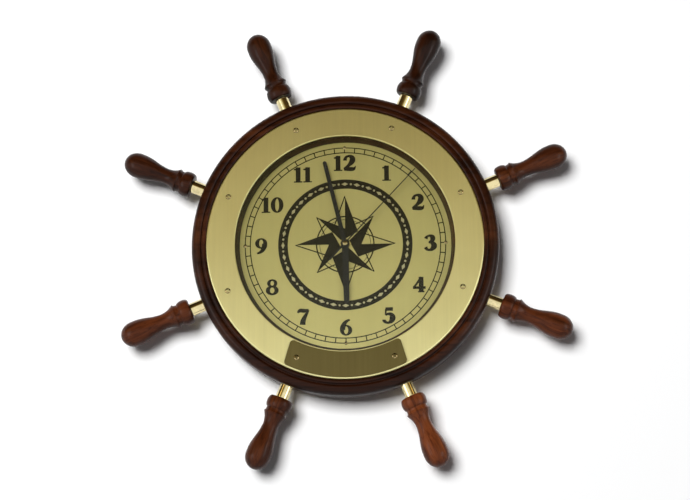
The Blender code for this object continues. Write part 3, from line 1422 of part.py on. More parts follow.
def make_electronics():
    """The circuit board with its chip and quartz crystal, the battery and its contacts."""
    left, right, bottom, top = board_box()
    front = board_front_depth()
    back = front + CIRCUIT_BOARD_THICKNESS
    board = prism(box(left, right, bottom, top), front, back)
    chip_x = (left + right) / 2
    chip_z = bottom + CHIP_EDGE_DISTANCE
    chip_base = back - CIRCUIT_BOARD_THICKNESS / 4
    blob = arc((0.0, back), (CHIP_RADIUS, CHIP_HEIGHT), 90, 0, CORNER_STEPS)
    chip = turned([*blob, (CHIP_RADIUS, chip_base), (0.0, chip_base)], SMALL_SEGMENTS)
    crystal = rod(CRYSTAL_RADIUS, -CRYSTAL_LENGTH / 2, CRYSTAL_LENGTH / 2, PIN_SEGMENTS, "Z")
    crystal_y = y_at(back) + CRYSTAL_RADIUS - CRYSTAL_SINK
    crystal = moved_to(crystal, chip_x, chip_z + 2 * CRYSTAL_LENGTH, crystal_y)
    solids = [board, moved_to(chip, chip_x, chip_z), crystal]
    finished(fused("circuit_board", solids), BOARD_GREEN)

    end = BATTERY_LENGTH / 2
    shoulder = end - BATTERY_NUB_LENGTH
    cell = [
        (0.0, -end),
        (BATTERY_RADIUS - BATTERY_EDGE, -end),
        (BATTERY_RADIUS, -end + BATTERY_EDGE),
        (BATTERY_RADIUS, shoulder - BATTERY_EDGE),
        (BATTERY_RADIUS - BATTERY_EDGE, shoulder),
        (BATTERY_NUB_RADIUS, shoulder),
        (BATTERY_NUB_RADIUS, end),
        (0.0, end),
    ]
    battery = moved_to(turned(cell, PIPE_SEGMENTS, "X"), 0.0, BATTERY_Z, y_at(BATTERY_DEPTH))
    finished(raw_object("battery", battery), BATTERY_JACKET)

    wall = BAY_HALF - FIT_GAP
    face = wall - CONTACT_THICKNESS
    spring = end + FIT_GAP
    leaf = [
        (wall, BATTERY_DEPTH - CONTACT_HALF_HEIGHT),
        (wall, BATTERY_DEPTH + CONTACT_HALF_HEIGHT),
        (face, BATTERY_DEPTH + CONTACT_HALF_HEIGHT),
        (face, BATTERY_DEPTH + CONTACT_BEND_HALF_HEIGHT),
        (spring, BATTERY_DEPTH),
        (face, BATTERY_DEPTH - CONTACT_BEND_HALF_HEIGHT),
        (face, BATTERY_DEPTH - CONTACT_HALF_HEIGHT),
    ]
    for name, side in (("positive_contact", 1), ("negative_contact", -1)):
        bm = bmesh.new()
        foot_z = BATTERY_Z - CONTACT_WIDTH / 2
        edge = bm.faces.new([bm.verts.new((side * x, y_at(depth), foot_z)) for x, depth in leaf])
        extruded = bmesh.ops.extrude_face_region(bm, geom=[edge])["geom"]
        lifted = [item for item in extruded if isinstance(item, bmesh.types.BMVert)]
        bmesh.ops.translate(bm, vec=(0.0, 0.0, CONTACT_WIDTH), verts=lifted)
        finished(raw_object(name, closed_mesh(bm)), STEEL)


def countersunk_hole(shank, head, head_height, seat, tip):
    """The hole for a countersunk screw that is let in from behind."""
    outside = WALL_DEPTH + head_height
    profile = [
        (0.0, tip - FIT_GAP),
        (shank + FIT_GAP, tip - FIT_GAP),
        (shank + FIT_GAP, seat - head_height),
        (head + FIT_GAP, seat),
        (head + FIT_GAP, outside),
        (0.0, outside),
    ]
    return turned(profile, SMALL_SEGMENTS)


def hanger_outline(grow=0.0):
    """The hanger plate's edge, centred on the top of the back ring."""
    half_length, half_width = HANGER_LENGTH / 2 + grow, HANGER_WIDTH / 2 + grow
    middle = BACK_RING_MID_RADIUS
    return rounded_box(
        -half_length, half_length, middle - half_width, middle + half_width, HANGER_CORNER_RADIUS + grow
    )


def hanger_screw_places():
    """One screw at each end of the hanger plate."""
    reach = HANGER_LENGTH / 2 - HANGER_SCREW_EDGE_DISTANCE
    return [(-reach, BACK_RING_MID_RADIUS), (reach, BACK_RING_MID_RADIUS)]


def make_back_ring():
    """The ring that stands the wheel off the wall, and the hanger plate let into it."""
    inner, outer, edge = BACK_RING_INNER_RADIUS, BACK_RING_OUTER_RADIUS, BACK_RING_EDGE_RADIUS
    profile = [
        (inner, BACK_RING_DEPTH),
        (outer, BACK_RING_DEPTH),
        *arc((outer - edge, WALL_DEPTH - edge), (edge, edge), 0, 90, EASED_EDGE_STEPS),
        (inner, WALL_DEPTH),
    ]
    ring = turned(profile, RING_SEGMENTS, closed=True)
    seat = WALL_DEPTH - FIT_GAP
    tip = RIM_BACK_DEPTH - BACK_SCREW_BITE
    sizes = (BACK_SCREW_RADIUS, BACK_SCREW_HEAD_RADIUS, BACK_SCREW_HEAD_HEIGHT, seat, tip)
    screw_holes = at_places(countersunk_hole(*sizes), back_screw_places())
    plate_front = seat - HANGER_THICKNESS
    recess = prism(hanger_outline(FIT_GAP), plate_front - FIT_GAP, WALL_DEPTH + HANGER_THICKNESS)
    pocket_half = HANGER_WIDTH / 2 - POCKET_MARGIN
    pocket = prism(
        box(
            -POCKET_HALF_LENGTH,
            POCKET_HALF_LENGTH,
            BACK_RING_MID_RADIUS - pocket_half,
            BACK_RING_MID_RADIUS + pocket_half,
        ),
        WALL_DEPTH - POCKET_DEPTH,
        WALL_DEPTH,
    )
    hanger_tip = seat - HANGER_SCREW_LENGTH
    hanger_sizes = (HANGER_SCREW_RADIUS, HANGER_SCREW_HEAD_RADIUS, HANGER_THICKNESS, seat, hanger_tip)
    hanger_places = hanger_screw_places()
    hanger_holes = at_places(countersunk_hole(*hanger_sizes), hanger_places)
    holes = [screw_holes, recess, pocket, hanger_holes]
    finished(fused("back_ring", [ring], holes), TURNED_WOOD)

    plate = prism(hanger_outline(), plate_front, seat)
    hole_z = BACK_RING_MID_RADIUS - KEYHOLE_SLOT_LENGTH / 2
    slot_top = hole_z + KEYHOLE_SLOT_LENGTH
    start, end = plate_front - HANGER_THICKNESS, seat + HANGER_THICKNESS
    keyhole = [
        prism(circle(KEYHOLE_RADIUS, SMALL_SEGMENTS + 2, (0.0, hole_z)), start, end),
        prism(
            rounded_box(
                -KEYHOLE_SLOT_RADIUS,
                KEYHOLE_SLOT_RADIUS,
                hole_z,
                slot_top,
                KEYHOLE_SLOT_CORNER_RADIUS,
            ),
            start,
            end,
        ),
    ]
    screw_holes = at_places(countersunk_hole(*hanger_sizes), hanger_places)
    finished(fused("hanger_plate", [plate], [*keyhole, screw_holes]), STEEL)


def make_clock():
    """Build every piece of the clock."""
    clear_scene()
    make_wheel()
    make_back_ring()
    make_bezel()
    make_bezel_screws()
    make_name_plate()
    make_glass()
    make_dial()
    make_spokes()
    hour_spindle = spindle("hour_spindle", HANDS_AXIS)
    minute_spindle = spindle("minute_spindle", HANDS_AXIS)
    second_spindle = spindle("second_spindle", HANDS_AXIS)
    setting_spindle = spindle("setting_spindle", MINUTE_WHEEL_AXIS)
    third_spindle = spindle("third_spindle", THIRD_AXIS)
    centre_spindle = spindle("centre_spindle", HANDS_AXIS)
    intermediate_spindle = spindle("intermediate_spindle", INTERMEDIATE_AXIS)
    rotor_spindle = spindle("rotor_spindle", ROTOR_AXIS)
    make_hands(hour_spindle, minute_spindle, second_spindle)
    make_clamp()
    make_motion_work(hour_spindle, minute_spindle, setting_spindle)
    make_going_train(second_spindle, third_spindle, centre_spindle, intermediate_spindle)
    make_motor(rotor_spindle)
    make_case()
    make_cover()
    make_train_plate()
    make_electronics()
    bpy.context.view_layer.update()


make_clock()
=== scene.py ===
"""The ship wheel clock's fine surfaces and finishes, hung on a white wall in soft light.

Lengths are in metres. A depth is measured from the bezel's face towards the wall, and a
clock angle runs clockwise from twelve.
"""

import math

import bpy
from mathutils import Matrix, Vector


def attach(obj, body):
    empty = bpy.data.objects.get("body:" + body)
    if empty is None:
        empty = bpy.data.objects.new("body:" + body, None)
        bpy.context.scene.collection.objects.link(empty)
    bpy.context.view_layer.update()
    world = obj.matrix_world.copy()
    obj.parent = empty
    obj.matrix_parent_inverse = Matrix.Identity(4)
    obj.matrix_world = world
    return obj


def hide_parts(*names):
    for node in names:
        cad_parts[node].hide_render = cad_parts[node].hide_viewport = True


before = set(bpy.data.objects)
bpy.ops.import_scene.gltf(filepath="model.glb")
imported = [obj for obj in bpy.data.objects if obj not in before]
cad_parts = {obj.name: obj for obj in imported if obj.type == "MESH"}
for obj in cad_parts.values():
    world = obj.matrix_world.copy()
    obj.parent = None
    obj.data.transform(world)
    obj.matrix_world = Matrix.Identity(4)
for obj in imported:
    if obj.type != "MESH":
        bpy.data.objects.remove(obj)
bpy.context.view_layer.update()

MM = 0.001
TURN = 2 * math.pi
CLOCK = "clock_body"
FACE_Y = -0.0184
WELD_GAP = 0.000002

# Handles and sleeves; a handle's own lengths are measured from its tip.
SPOKES = 8
FIRST_SPOKE = math.radians(22.5)
SPOKE_DEPTH = 0.0153
TIP_RADIUS = 0.25147
HANDLE_LENGTH = 0.0775
TENON_END = 0.1128
TENON_RADIUS = 0.0047
SLEEVE_RADIUS = 0.0068
SLEEVE_BORE = 0.0050
SLEEVE_FOOT, SLEEVE_TOP = 0.1563, 0.1737

# The rim and the web inside it.
WEB_FRONT, WEB_BACK = 0.0151, 0.0198
RIM_BACK = 0.0300
BUSH_HOLE = 0.0043
DIAL_SEAT_RADIUS = 0.1106
GLASS_SEAT_RADIUS = 0.1183
GLASS_SEAT_DEPTH = 0.0056
BEZEL_SEAT_RADIUS = 0.1443
BEZEL_SEAT_DEPTH = 0.0033
RECESS_RADIUS = 0.104

# The bezel, the glass and the dial.
BEZEL_INSIDE, BEZEL_OUTSIDE = 0.1143, 0.1440
BEZEL_THICKNESS = 0.0030
SCREW_CIRCLE = 0.131
PLATE_FRONT, PLATE_BACK = -0.0012, -0.0003
PLATE_LIFT = -0.0009
GLASS_RADIUS = 0.118
GLASS_FRONT, GLASS_BACK = 0.0033, 0.0053
DIAL_RADIUS = 0.1103
DIAL_DEPTH, DIAL_BACK = 0.0138, 0.0148
PRINT_HEIGHT = 0.00005
TRACK_INSIDE, TRACK_OUTSIDE = 0.0992, 0.1045

# The rear.
BACK_RING_MIDDLE = 0.116
HANGER_SCREW_OFFSET = 0.0182
WALL_DEPTH = 0.0391


# Modelling


def at(x, depth, z):
    """A point at a depth behind the bezel's face."""
    return Vector((x, FACE_Y + depth, z))


def clock_point(radius, angle):
    """The x and z of a clock angle."""
    return radius * math.sin(angle), radius * math.cos(angle)


def arc(centre, radii, start, end, steps):
    """Points on an elliptical arc between two angles in degrees."""
    points = []
    for step in range(steps + 1):
        angle = math.radians(start + (end - start) * step / steps)
        across, along = radii[0] * math.cos(angle), radii[1] * math.sin(angle)
        points.append((centre[0] + across, centre[1] + along))
    return points


def softened(points, radius, steps=3, closed=False):
    """The same line with its corners rounded off and a holding point beside each."""
    result = []
    count = len(points)
    for index, point in enumerate(points):
        here = Vector(point)
        if not closed and index in (0, count - 1):
            result.append(tuple(here))
            continue
        before, after = Vector(points[index - 1]), Vector(points[(index + 1) % count])
        to_before, to_after = before - here, after - here
        straight = to_before.angle(to_after, math.pi)
        if straight > math.radians(160):
            result.append(tuple(here))
            continue
        cut = min(radius, 0.45 * to_before.length, 0.45 * to_after.length)
        start = here + to_before.normalized() * cut
        end = here + to_after.normalized() * cut
        if to_before.length > 4 * cut:
            result.append(tuple(here + to_before.normalized() * cut * 1.4))
        for step in range(steps + 1):
            share = step / steps
            blend = start * (1 - share) ** 2 + here * 2 * share * (1 - share) + end * share**2
            result.append(tuple(blend))
        if to_after.length > 4 * cut:
            result.append(tuple(here + to_after.normalized() * cut * 1.4))
    return result


def start_at(name, point):
    """A new piece that is one point, left in edit mode."""
    bpy.ops.object.select_all(action="DESELECT")
    bpy.ops.mesh.primitive_plane_add(size=MM, location=point)
    piece = bpy.context.object
    piece.name = name
    piece.data.name = name
    bpy.ops.object.transform_apply(location=True, rotation=True, scale=True)
    bpy.ops.object.mode_set(mode="EDIT")
    bpy.ops.mesh.select_all(action="SELECT")
    bpy.ops.mesh.merge(type="CENTER")
    return piece


def drawn(name, points):
    """A line drawn from point to point by extruding its end, left in edit mode."""
    piece = start_at(name, points[0])
    for before, point in zip(points, points[1:]):
        step = Vector(point) - Vector(before)
        bpy.ops.mesh.extrude_region_move(TRANSFORM_OT_translate={"value": step})
    return piece


def closed_up(sharp=30.0):
    """Weld the seams, face the walls outward, leave edit mode and shade the piece."""
    bpy.ops.mesh.select_all(action="SELECT")
    bpy.ops.mesh.remove_doubles(threshold=WELD_GAP)
    bpy.ops.mesh.normals_make_consistent(inside=False)
    bpy.ops.object.mode_set(mode="OBJECT")
    bpy.ops.object.shade_smooth_by_angle(angle=math.radians(sharp))
    return bpy.context.object


def lathed(name, section, steps, sharp=30.0):
    """A piece turned about the hands' axis from (radius, depth) points."""
    drawn(name, [at(0.0, depth, radius) for radius, depth in section])
    bpy.ops.mesh.select_all(action="SELECT")
    bpy.ops.mesh.spin(steps=steps, angle=TURN, center=(0, 0, 0), axis=(0, 1, 0))
    return closed_up(sharp)


def spoke_lathed(name, section, steps, sharp=30.0):
    """A piece turned about the upright spoke axis from (radius, place) points."""
    drawn(name, [at(0.0, SPOKE_DEPTH - radius, place) for radius, place in section])
    bpy.ops.mesh.select_all(action="SELECT")
    bpy.ops.mesh.spin(steps=steps, angle=TURN, center=at(0, SPOKE_DEPTH, 0), axis=(0, 0, 1))
    return closed_up(sharp)


def ease_edges(piece, width, limit):
    """Round the edges of the active piece that turn more than a limit in degrees."""
    eased = piece.modifiers.new("eased edges", "BEVEL")
    eased.width = width
    eased.segments = 2
    eased.limit_method = "ANGLE"
    eased.angle_limit = math.radians(limit)
    bpy.ops.object.modifier_apply(modifier=eased.name)
    bpy.ops.object.shade_smooth_by_angle(angle=math.radians(30))


def cut_from_sheet(name, outline, front, back):
    """A flat piece with an (x, z) outline, between two depths."""
    drawn(name, [at(x, back, z) for x, z in outline])
    bpy.ops.mesh.select_all(action="SELECT")
    bpy.ops.mesh.edge_face_add()
    bpy.ops.mesh.extrude_region_move(TRANSFORM_OT_translate={"value": (0, front - back, 0)})
    return closed_up()


def only(piece):
    """Select one piece and nothing else."""
    bpy.ops.object.select_all(action="DESELECT")
    piece.select_set(True)
    bpy.context.view_layer.objects.active = piece


def copied(piece, name, angle=0.0, shift=(0, 0, 0)):
    """A copy with its own mesh, turned clockwise about the hands' axis and then moved."""
    only(piece)
    bpy.ops.object.duplicate(linked=False)
    twin = bpy.context.object
    twin.name = name
    twin.data.name = name
    twin.rotation_euler = (0, angle, 0)
    twin.location = shift
    bpy.ops.object.transform_apply(location=True, rotation=True, scale=True)
    return twin


def scrap(piece):
    """Throw a pattern or a tool away."""
    bpy.data.objects.remove(piece, do_unlink=True)


def carve(piece, tool, operation="DIFFERENCE"):
    """Cut a piece with a tool, or join the tool to it, and throw the tool away."""
    only(piece)
    cut = piece.modifiers.new("carving", "BOOLEAN")
    cut.operation = operation
    cut.object = tool
    cut.solver = "EXACT"
    bpy.ops.object.modifier_apply(modifier=cut.name)
    scrap(tool)
    return piece


def cut_cross(screw, depth, size):
    """Cut a cross recess into a screw's head with a blade of a size, centred at a depth."""
    for turned in (0.0, math.pi / 2):
        bpy.ops.object.select_all(action="DESELECT")
        bpy.ops.mesh.primitive_cube_add(size=1.0, location=at(0, depth, 0))
        blade = bpy.context.object
        blade.scale = size
        blade.rotation_euler = (0, turned, 0)
        bpy.ops.object.transform_apply(location=True, rotation=True, scale=True)
        carve(screw, blade)
    only(screw)
    bpy.ops.object.shade_smooth_by_angle(angle=math.radians(34))


def joined(name, pieces):
    """Several solids made one piece."""
    bpy.ops.object.select_all(action="DESELECT")
    for piece in pieces:
        piece.select_set(True)
    bpy.context.view_layer.objects.active = pieces[0]
    bpy.ops.object.join()
    whole = bpy.context.object
    whole.name = name
    whole.data.name = name
    return whole


def fitted(piece, finish, body=CLOCK, stands_for=()):
    """Give a piece its finish and its body, and hide the solids it stands for."""
    piece.data.materials.clear()
    piece.data.materials.append(finish)
    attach(piece, body)
    if stands_for:
        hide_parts(*stands_for)
    return piece


# Finishes


def ramp_on(tree, value, stops):
    """Colours along a value; a stop is (place, colour)."""
    ramp = tree.nodes.new("ShaderNodeValToRGB")
    elements = ramp.color_ramp.elements
    while len(elements) < len(stops):
        elements.new(0.5)
    for element, (place, colour) in zip(elements, stops):
        element.position = place
        element.color = (*colour, 1.0)
    tree.links.new(value, ramp.inputs["Fac"])
    return ramp.outputs["Color"]


def any_of(tree, *signals):
    """One where any of the signals is one."""
    result = signals[0]
    for signal in signals[1:]:
        larger = tree.nodes.new("ShaderNodeMath")
        larger.operation = "MAXIMUM"
        tree.links.new(result, larger.inputs[0])
        tree.links.new(signal, larger.inputs[1])
        result = larger.outputs[0]
    return result


def switched(tree, signal, usual, other, output):
    """Put out the usual shader, or the other one where the signal is one."""
    either = tree.nodes.new("ShaderNodeMixShader")
    tree.links.new(signal, either.inputs[0])
    tree.links.new(usual, either.inputs[1])
    tree.links.new(other, either.inputs[2])
    tree.links.new(either.outputs[0], tree.nodes[output].inputs["Surface"])


class Finish:
    """A material with a short way to add and join nodes."""

    def __init__(self, name, colour, roughness, metallic=0.0):
        self.material = bpy.data.materials.new(name)
        self.material.use_nodes = True
        self.tree = self.material.node_tree
        self.shader = self.tree.nodes["Principled BSDF"]
        self.set("Base Color", (*colour, 1.0))
        self.set("Roughness", roughness)
        self.set("Metallic", metallic)

    def set(self, socket, value):
        """Set one of the shader's own values."""
        self.shader.inputs[socket].default_value = value

    def add(self, kind, **settings):
        """Add a node with its own settings."""
        node = self.tree.nodes.new(kind)
        for key, value in settings.items():
            setattr(node, key, value)
        return node

    def link(self, source, target):
        """Join two sockets."""
        self.tree.links.new(source, target)

    def place(self, scale=(1, 1, 1), turn=(0, 0, 0), shift=(0, 0, 0)):
        """Coordinates on the piece, stretched, turned and moved."""
        coordinates = self.add("ShaderNodeTexCoord")
        mapping = self.add("ShaderNodeMapping", vector_type="TEXTURE")
        mapping.inputs["Rotation"].default_value = turn
        mapping.inputs["Location"].default_value = shift
        self.link(coordinates.outputs["Object"], mapping.inputs["Vector"])
        stretch = self.add("ShaderNodeVectorMath", operation="MULTIPLY")
        stretch.inputs[1].default_value = scale
        self.link(mapping.outputs["Vector"], stretch.inputs[0])
        return stretch.outputs["Vector"]

    def noise(self, vector, scale=1.0, detail=2.0, rough=0.5, distortion=0.0):
        """A cloud of noise."""
        cloud = self.add("ShaderNodeTexNoise")
        cloud.inputs["Scale"].default_value = scale
        cloud.inputs["Detail"].default_value = detail
        cloud.inputs["Roughness"].default_value = rough
        cloud.inputs["Distortion"].default_value = distortion
        self.link(vector, cloud.inputs["Vector"])
        return cloud.outputs["Fac"]

    def ramp(self, value, stops):
        """Colours along a value; a stop is (place, colour)."""
        return ramp_on(self.tree, value, stops)

    def mixed(self, share, first, second, blend="MIX"):
        """One colour laid over another."""
        mix = self.add("ShaderNodeMix", data_type="RGBA", blend_type=blend)
        pairs = ((mix.inputs[0], share), (mix.inputs[6], first), (mix.inputs[7], second))
        for socket, value in pairs:
            if isinstance(value, (int, float)):
                socket.default_value = value
            elif isinstance(value, tuple):
                socket.default_value = (*value, 1.0)
            else:
                self.link(value, socket)
        return mix.outputs[2]

    def fit(self, value, low, high, from_low=0.0, from_high=1.0):
        """A value brought into a range."""
        span = self.add("ShaderNodeMapRange")
        span.inputs["From Min"].default_value = from_low
        span.inputs["From Max"].default_value = from_high
        span.inputs["To Min"].default_value = low
        span.inputs["To Max"].default_value = high
        self.link(value, span.inputs["Value"])
        return span.outputs["Result"]

    def colour_from(self, colour):
        """Take the surface's colour from a socket."""
        self.link(colour, self.shader.inputs["Base Color"])

    def roughness_from(self, value, low, high):
        """Let the roughness follow a value between two levels."""
        self.link(self.fit(value, low, high), self.shader.inputs["Roughness"])

    def bump(self, height, distance, strength=1.0):
        """Raise the surface a little by a value."""
        bump = self.add("ShaderNodeBump")
        bump.inputs["Strength"].default_value = strength
        bump.inputs["Distance"].default_value = distance
        self.link(height, bump.inputs["Height"])
        self.link(bump.outputs["Normal"], self.shader.inputs["Normal"])


def varnished_wood(name, turn, shift, tone):
    """Dark red-brown hardwood under satin varnish, with its grain along local Z."""
    finish = Finish(name, (0.08, 0.022, 0.011), 0.34)
    figure = finish.place((26, 26, 3.2), turn, shift)
    streaks = finish.place((240, 240, 9), turn, shift)
    pores = finish.place((900, 900, 60), turn, shift)
    clouds = finish.noise(figure, 1.0, 4.0, 0.55, 0.6)
    lines = finish.noise(streaks, 1.0, 5.0, 0.62, 0.4)
    specks = finish.noise(pores, 1.0, 2.0, 0.5)
    shades = [
        (0.30, (0.026, 0.0070, 0.0025)),
        (0.50, (0.094, 0.0230, 0.0066)),
        (0.68, (0.185, 0.0500, 0.0140)),
    ]
    toned = [(place, tuple(tone * part for part in shade)) for place, shade in shades]
    base = finish.ramp(clouds, toned)
    grain = finish.ramp(lines, [(0.34, (0.36, 0.32, 0.30)), (0.56, (1.0, 1.0, 1.0))])
    dark = finish.ramp(specks, [(0.30, (0.35, 0.3, 0.28)), (0.42, (1.0, 1.0, 1.0))])
    wood = finish.mixed(0.9, base, grain, "MULTIPLY")
    wood = finish.mixed(0.5, wood, dark, "MULTIPLY")
    finish.colour_from(wood)
    finish.roughness_from(lines, 0.46, 0.30)
    finish.bump(lines, 0.00006, 0.5)
    finish.set("Specular IOR Level", 0.10)
    finish.set("Coat Weight", 0.10)
    finish.set("Coat Roughness", 0.07)
    return finish.material


def brushed_brass(name, colour, roughness, streak, metallic=1.0):
    """Sheet brass brushed from top to bottom and lacquered, so it spreads light sideways."""
    finish = Finish(name, colour, roughness, metallic)
    finish.set("Anisotropic", 0.95)
    fine = finish.noise(finish.place((2600, 200, 10)), 1.0, 3.0, 0.7)
    broad = finish.noise(finish.place((320, 60, 5)), 1.0, 2.0, 0.6)
    patina = finish.noise(finish.place((14, 14, 14)), 1.0, 3.0, 0.5)
    lines = finish.mixed(0.5, fine, broad)
    light = tuple(min(1.0, c * (1 + streak)) for c in colour)
    dark = tuple(c * (1 - streak) for c in colour)
    tone = finish.ramp(lines, [(0.3, dark), (0.7, light)])
    cloudy = finish.ramp(patina, [(0.35, (0.94, 0.93, 0.90)), (0.65, (1.0, 1.0, 1.0))])
    finish.colour_from(finish.mixed(1.0, tone, cloudy, "MULTIPLY"))
    finish.roughness_from(fine, roughness * 0.82, roughness * 1.2)
    finish.bump(fine, 0.00001)
    return finish.material


def polished_brass(name, colour, roughness, painted_shade_behind=None):
    """Bright turned brass with a little tarnish, and painted shade behind a place along Y that
    turns the screws' cross recesses near black.
    """
    finish = Finish(name, colour, roughness, 1.0)
    marks = finish.noise(finish.place((700, 700, 700)), 1.0, 2.0, 0.6)
    tarnish = finish.noise(finish.place((90, 90, 90)), 1.0, 4.0, 0.6)
    dull = tuple(c * 0.72 for c in colour)
    tone = finish.ramp(tarnish, [(0.35, dull), (0.6, colour)])
    # Painted shade: behind the given place along Y the colour turns near black, standing in for
    # the shade inside a screw's cross recess.
    if painted_shade_behind is not None:
        spot = finish.add("ShaderNodeSeparateXYZ")
        finish.link(finish.place(), spot.inputs["Vector"])
        deep = finish.fit(spot.outputs["Y"], 0.0, 1.0, painted_shade_behind, painted_shade_behind + 0.0001)
        tone = finish.mixed(deep, tone, (0.014, 0.009, 0.004))
    finish.colour_from(tone)
    finish.roughness_from(marks, roughness * 0.7, roughness * 1.8)
    finish.bump(marks, 0.000006, 0.6)
    return finish.material


def black_paint(name, colour, roughness, shine):
    """Satin black lacquer or printing ink."""
    finish = Finish(name, colour, roughness)
    finish.set("Specular IOR Level", shine)
    mottle = finish.noise(finish.place((500, 500, 500)), 1.0, 3.0, 0.6)
    pale = tuple(c * 1.7 + 0.002 for c in colour)
    finish.colour_from(finish.ramp(mottle, [(0.4, colour), (0.75, pale)]))
    finish.roughness_from(mottle, roughness * 0.85, roughness * 1.2)
    finish.bump(mottle, 0.000008, 0.5)
    return finish.material


def moulded_plastic(name, colour, roughness=0.42, grain=0.00002):
    """Injection-moulded plastic with a fine spark-eroded texture."""
    finish = Finish(name, colour, roughness)
    texture = finish.noise(finish.place((1500, 1500, 1500)), 1.0, 2.0, 0.6)
    dust = finish.noise(finish.place((60, 60, 60)), 1.0, 4.0, 0.6)
    worn = tuple(min(1.0, c * 1.25 + 0.01) for c in colour)
    finish.colour_from(finish.ramp(dust, [(0.45, colour), (0.8, worn)]))
    finish.roughness_from(dust, roughness * 0.85, roughness * 1.2)
    finish.bump(texture, grain, 0.6)
    return finish.material


def plain_steel(name, colour=(0.55, 0.55, 0.56), roughness=0.3):
    """Bright steel sheet with rolling marks."""
    finish = Finish(name, colour, roughness, 1.0)
    rolled = finish.noise(finish.place((40, 900, 900)), 1.0, 3.0, 0.6)
    dark = tuple(c * 0.75 for c in colour)
    finish.colour_from(finish.ramp(rolled, [(0.35, dark), (0.65, colour)]))
    finish.roughness_from(rolled, roughness * 0.8, roughness * 1.3)
    finish.bump(rolled, 0.000008, 0.6)
    return finish.material


def window_glass(name):
    """A flat clear pane that lets the lamps through."""
    finish = Finish(name, (0.97, 0.99, 0.97), 0.0)
    finish.set("Transmission Weight", 1.0)
    finish.set("IOR", 1.34)
    rays = finish.add("ShaderNodeLightPath").outputs
    lamp_ray = any_of(finish.tree, rays["Is Shadow Ray"], rays["Is Diffuse Ray"])
    clear = finish.add("ShaderNodeBsdfTransparent")
    clear.inputs["Color"].default_value = (0.95, 0.97, 0.95, 1.0)
    glassy = finish.shader.outputs["BSDF"]
    switched(finish.tree, lamp_ray, glassy, clear.outputs["BSDF"], "Material Output")
    return finish.material


# The wheel


def make_rim(wood):
    """The turned wooden wheel: recess, bead, quirk, rounded front edge, heel and rear recess."""
    bead = arc((0.1464, 0.0016), (0.0021, -0.0012), 180, 0, 12)
    swell = arc((0.152, 0.0030), (0.0024, -0.0024), 180, 90, 10)
    shoulder = arc((0.152, 0.0086), (0.008, 0.008), -90, 0, 18)
    heel = arc((0.150, 0.020), (0.010, 0.010), 0, 90, 14)
    section = [
        (BUSH_HOLE, WEB_FRONT),
        (DIAL_SEAT_RADIUS, WEB_FRONT),
        (DIAL_SEAT_RADIUS, 0.0135),
        (BEZEL_INSIDE, GLASS_SEAT_DEPTH),
        (GLASS_SEAT_RADIUS, GLASS_SEAT_DEPTH),
        (GLASS_SEAT_RADIUS, BEZEL_SEAT_DEPTH),
        (BEZEL_SEAT_RADIUS, BEZEL_SEAT_DEPTH),
        *bead,
        (0.1486, 0.0029),
        (0.1491, 0.0030),
        *swell,
        *shoulder[1:],
        *heel,
        (RECESS_RADIUS, RIM_BACK),
        (RECESS_RADIUS, WEB_BACK),
        (BUSH_HOLE, WEB_BACK),
        (BUSH_HOLE, WEB_FRONT),
    ]
    rim = lathed("rim_turned", section, 192, 26.0)
    fitted(rim, wood, stands_for=["wheel_rim"])


def handle_section():
    """A handle's turned outline, from its tip to the end of its tenon."""
    swell, swell_end, waist, waist_place = 0.0130, 0.0180, 0.0081, 0.0475
    points = arc((0.0, 0.0145), (swell, 0.0145), -90, 0, 18)
    for step in range(21):
        share = step / 20
        fall = (1 + math.cos(math.pi * share)) / 2
        place = swell_end + (waist_place - swell_end) * share
        points.append((waist + (swell - waist) * fall, place))
    for step in range(1, 11):
        share = step / 10
        points.append((waist + 0.0040 * share**2, waist_place + 0.0122 * share))
    points += arc((0.0115, 0.0604), (0.0008, 0.0007), -50, 60, 5)
    points += [(0.0113, 0.0618), (0.0109, 0.0640)]
    points += arc((0.0106, 0.0713), (0.0027, 0.0062), -80, 88, 20)
    points += [(TENON_RADIUS, HANDLE_LENGTH), (TENON_RADIUS, TENON_END), (0.0, TENON_END)]
    return [(radius, TIP_RADIUS - place) for radius, place in points]


def make_spokes(brass):
    """Eight handles on brass sleeves; the wood of each has its own tone, and the tones are
    painted light: the upper handles darker, the lower ones lighter, as if lit from below.
    """
    # Painted light: these tones make the upper handles' wood darker and most lower handles'
    # lighter, standing in for light falling from below.
    lit_and_shaded_tones = (0.30, 0.58, 1.22, 1.48, 0.66, 1.30, 0.38, 0.27)
    handle = spoke_lathed("handle_pattern", handle_section(), 56, 38.0)
    sleeve_section = [
        (SLEEVE_BORE, SLEEVE_FOOT),
        (SLEEVE_RADIUS, SLEEVE_FOOT),
        (SLEEVE_RADIUS, SLEEVE_TOP),
        (SLEEVE_BORE, SLEEVE_TOP),
        (SLEEVE_BORE, SLEEVE_FOOT),
    ]
    sleeve = spoke_lathed("sleeve_pattern", softened(sleeve_section, 0.0004), 56)
    for number in range(1, SPOKES + 1):
        angle = FIRST_SPOKE + TURN * (number - 1) / SPOKES
        shift = (0.31 * number, 0.17 * number, 0)
        wood = varnished_wood(f"handle_wood_{number}", (0, angle, 0), shift, lit_and_shaded_tones[number - 1])
        twin = copied(handle, f"handle_turned_{number}", angle)
        fitted(twin, wood, stands_for=[f"handle_{number}"])
        twin = copied(sleeve, f"sleeve_tube_{number}", angle)
        fitted(twin, brass, stands_for=[f"spoke_sleeve_{number}"])
    scrap(handle)
    scrap(sleeve)


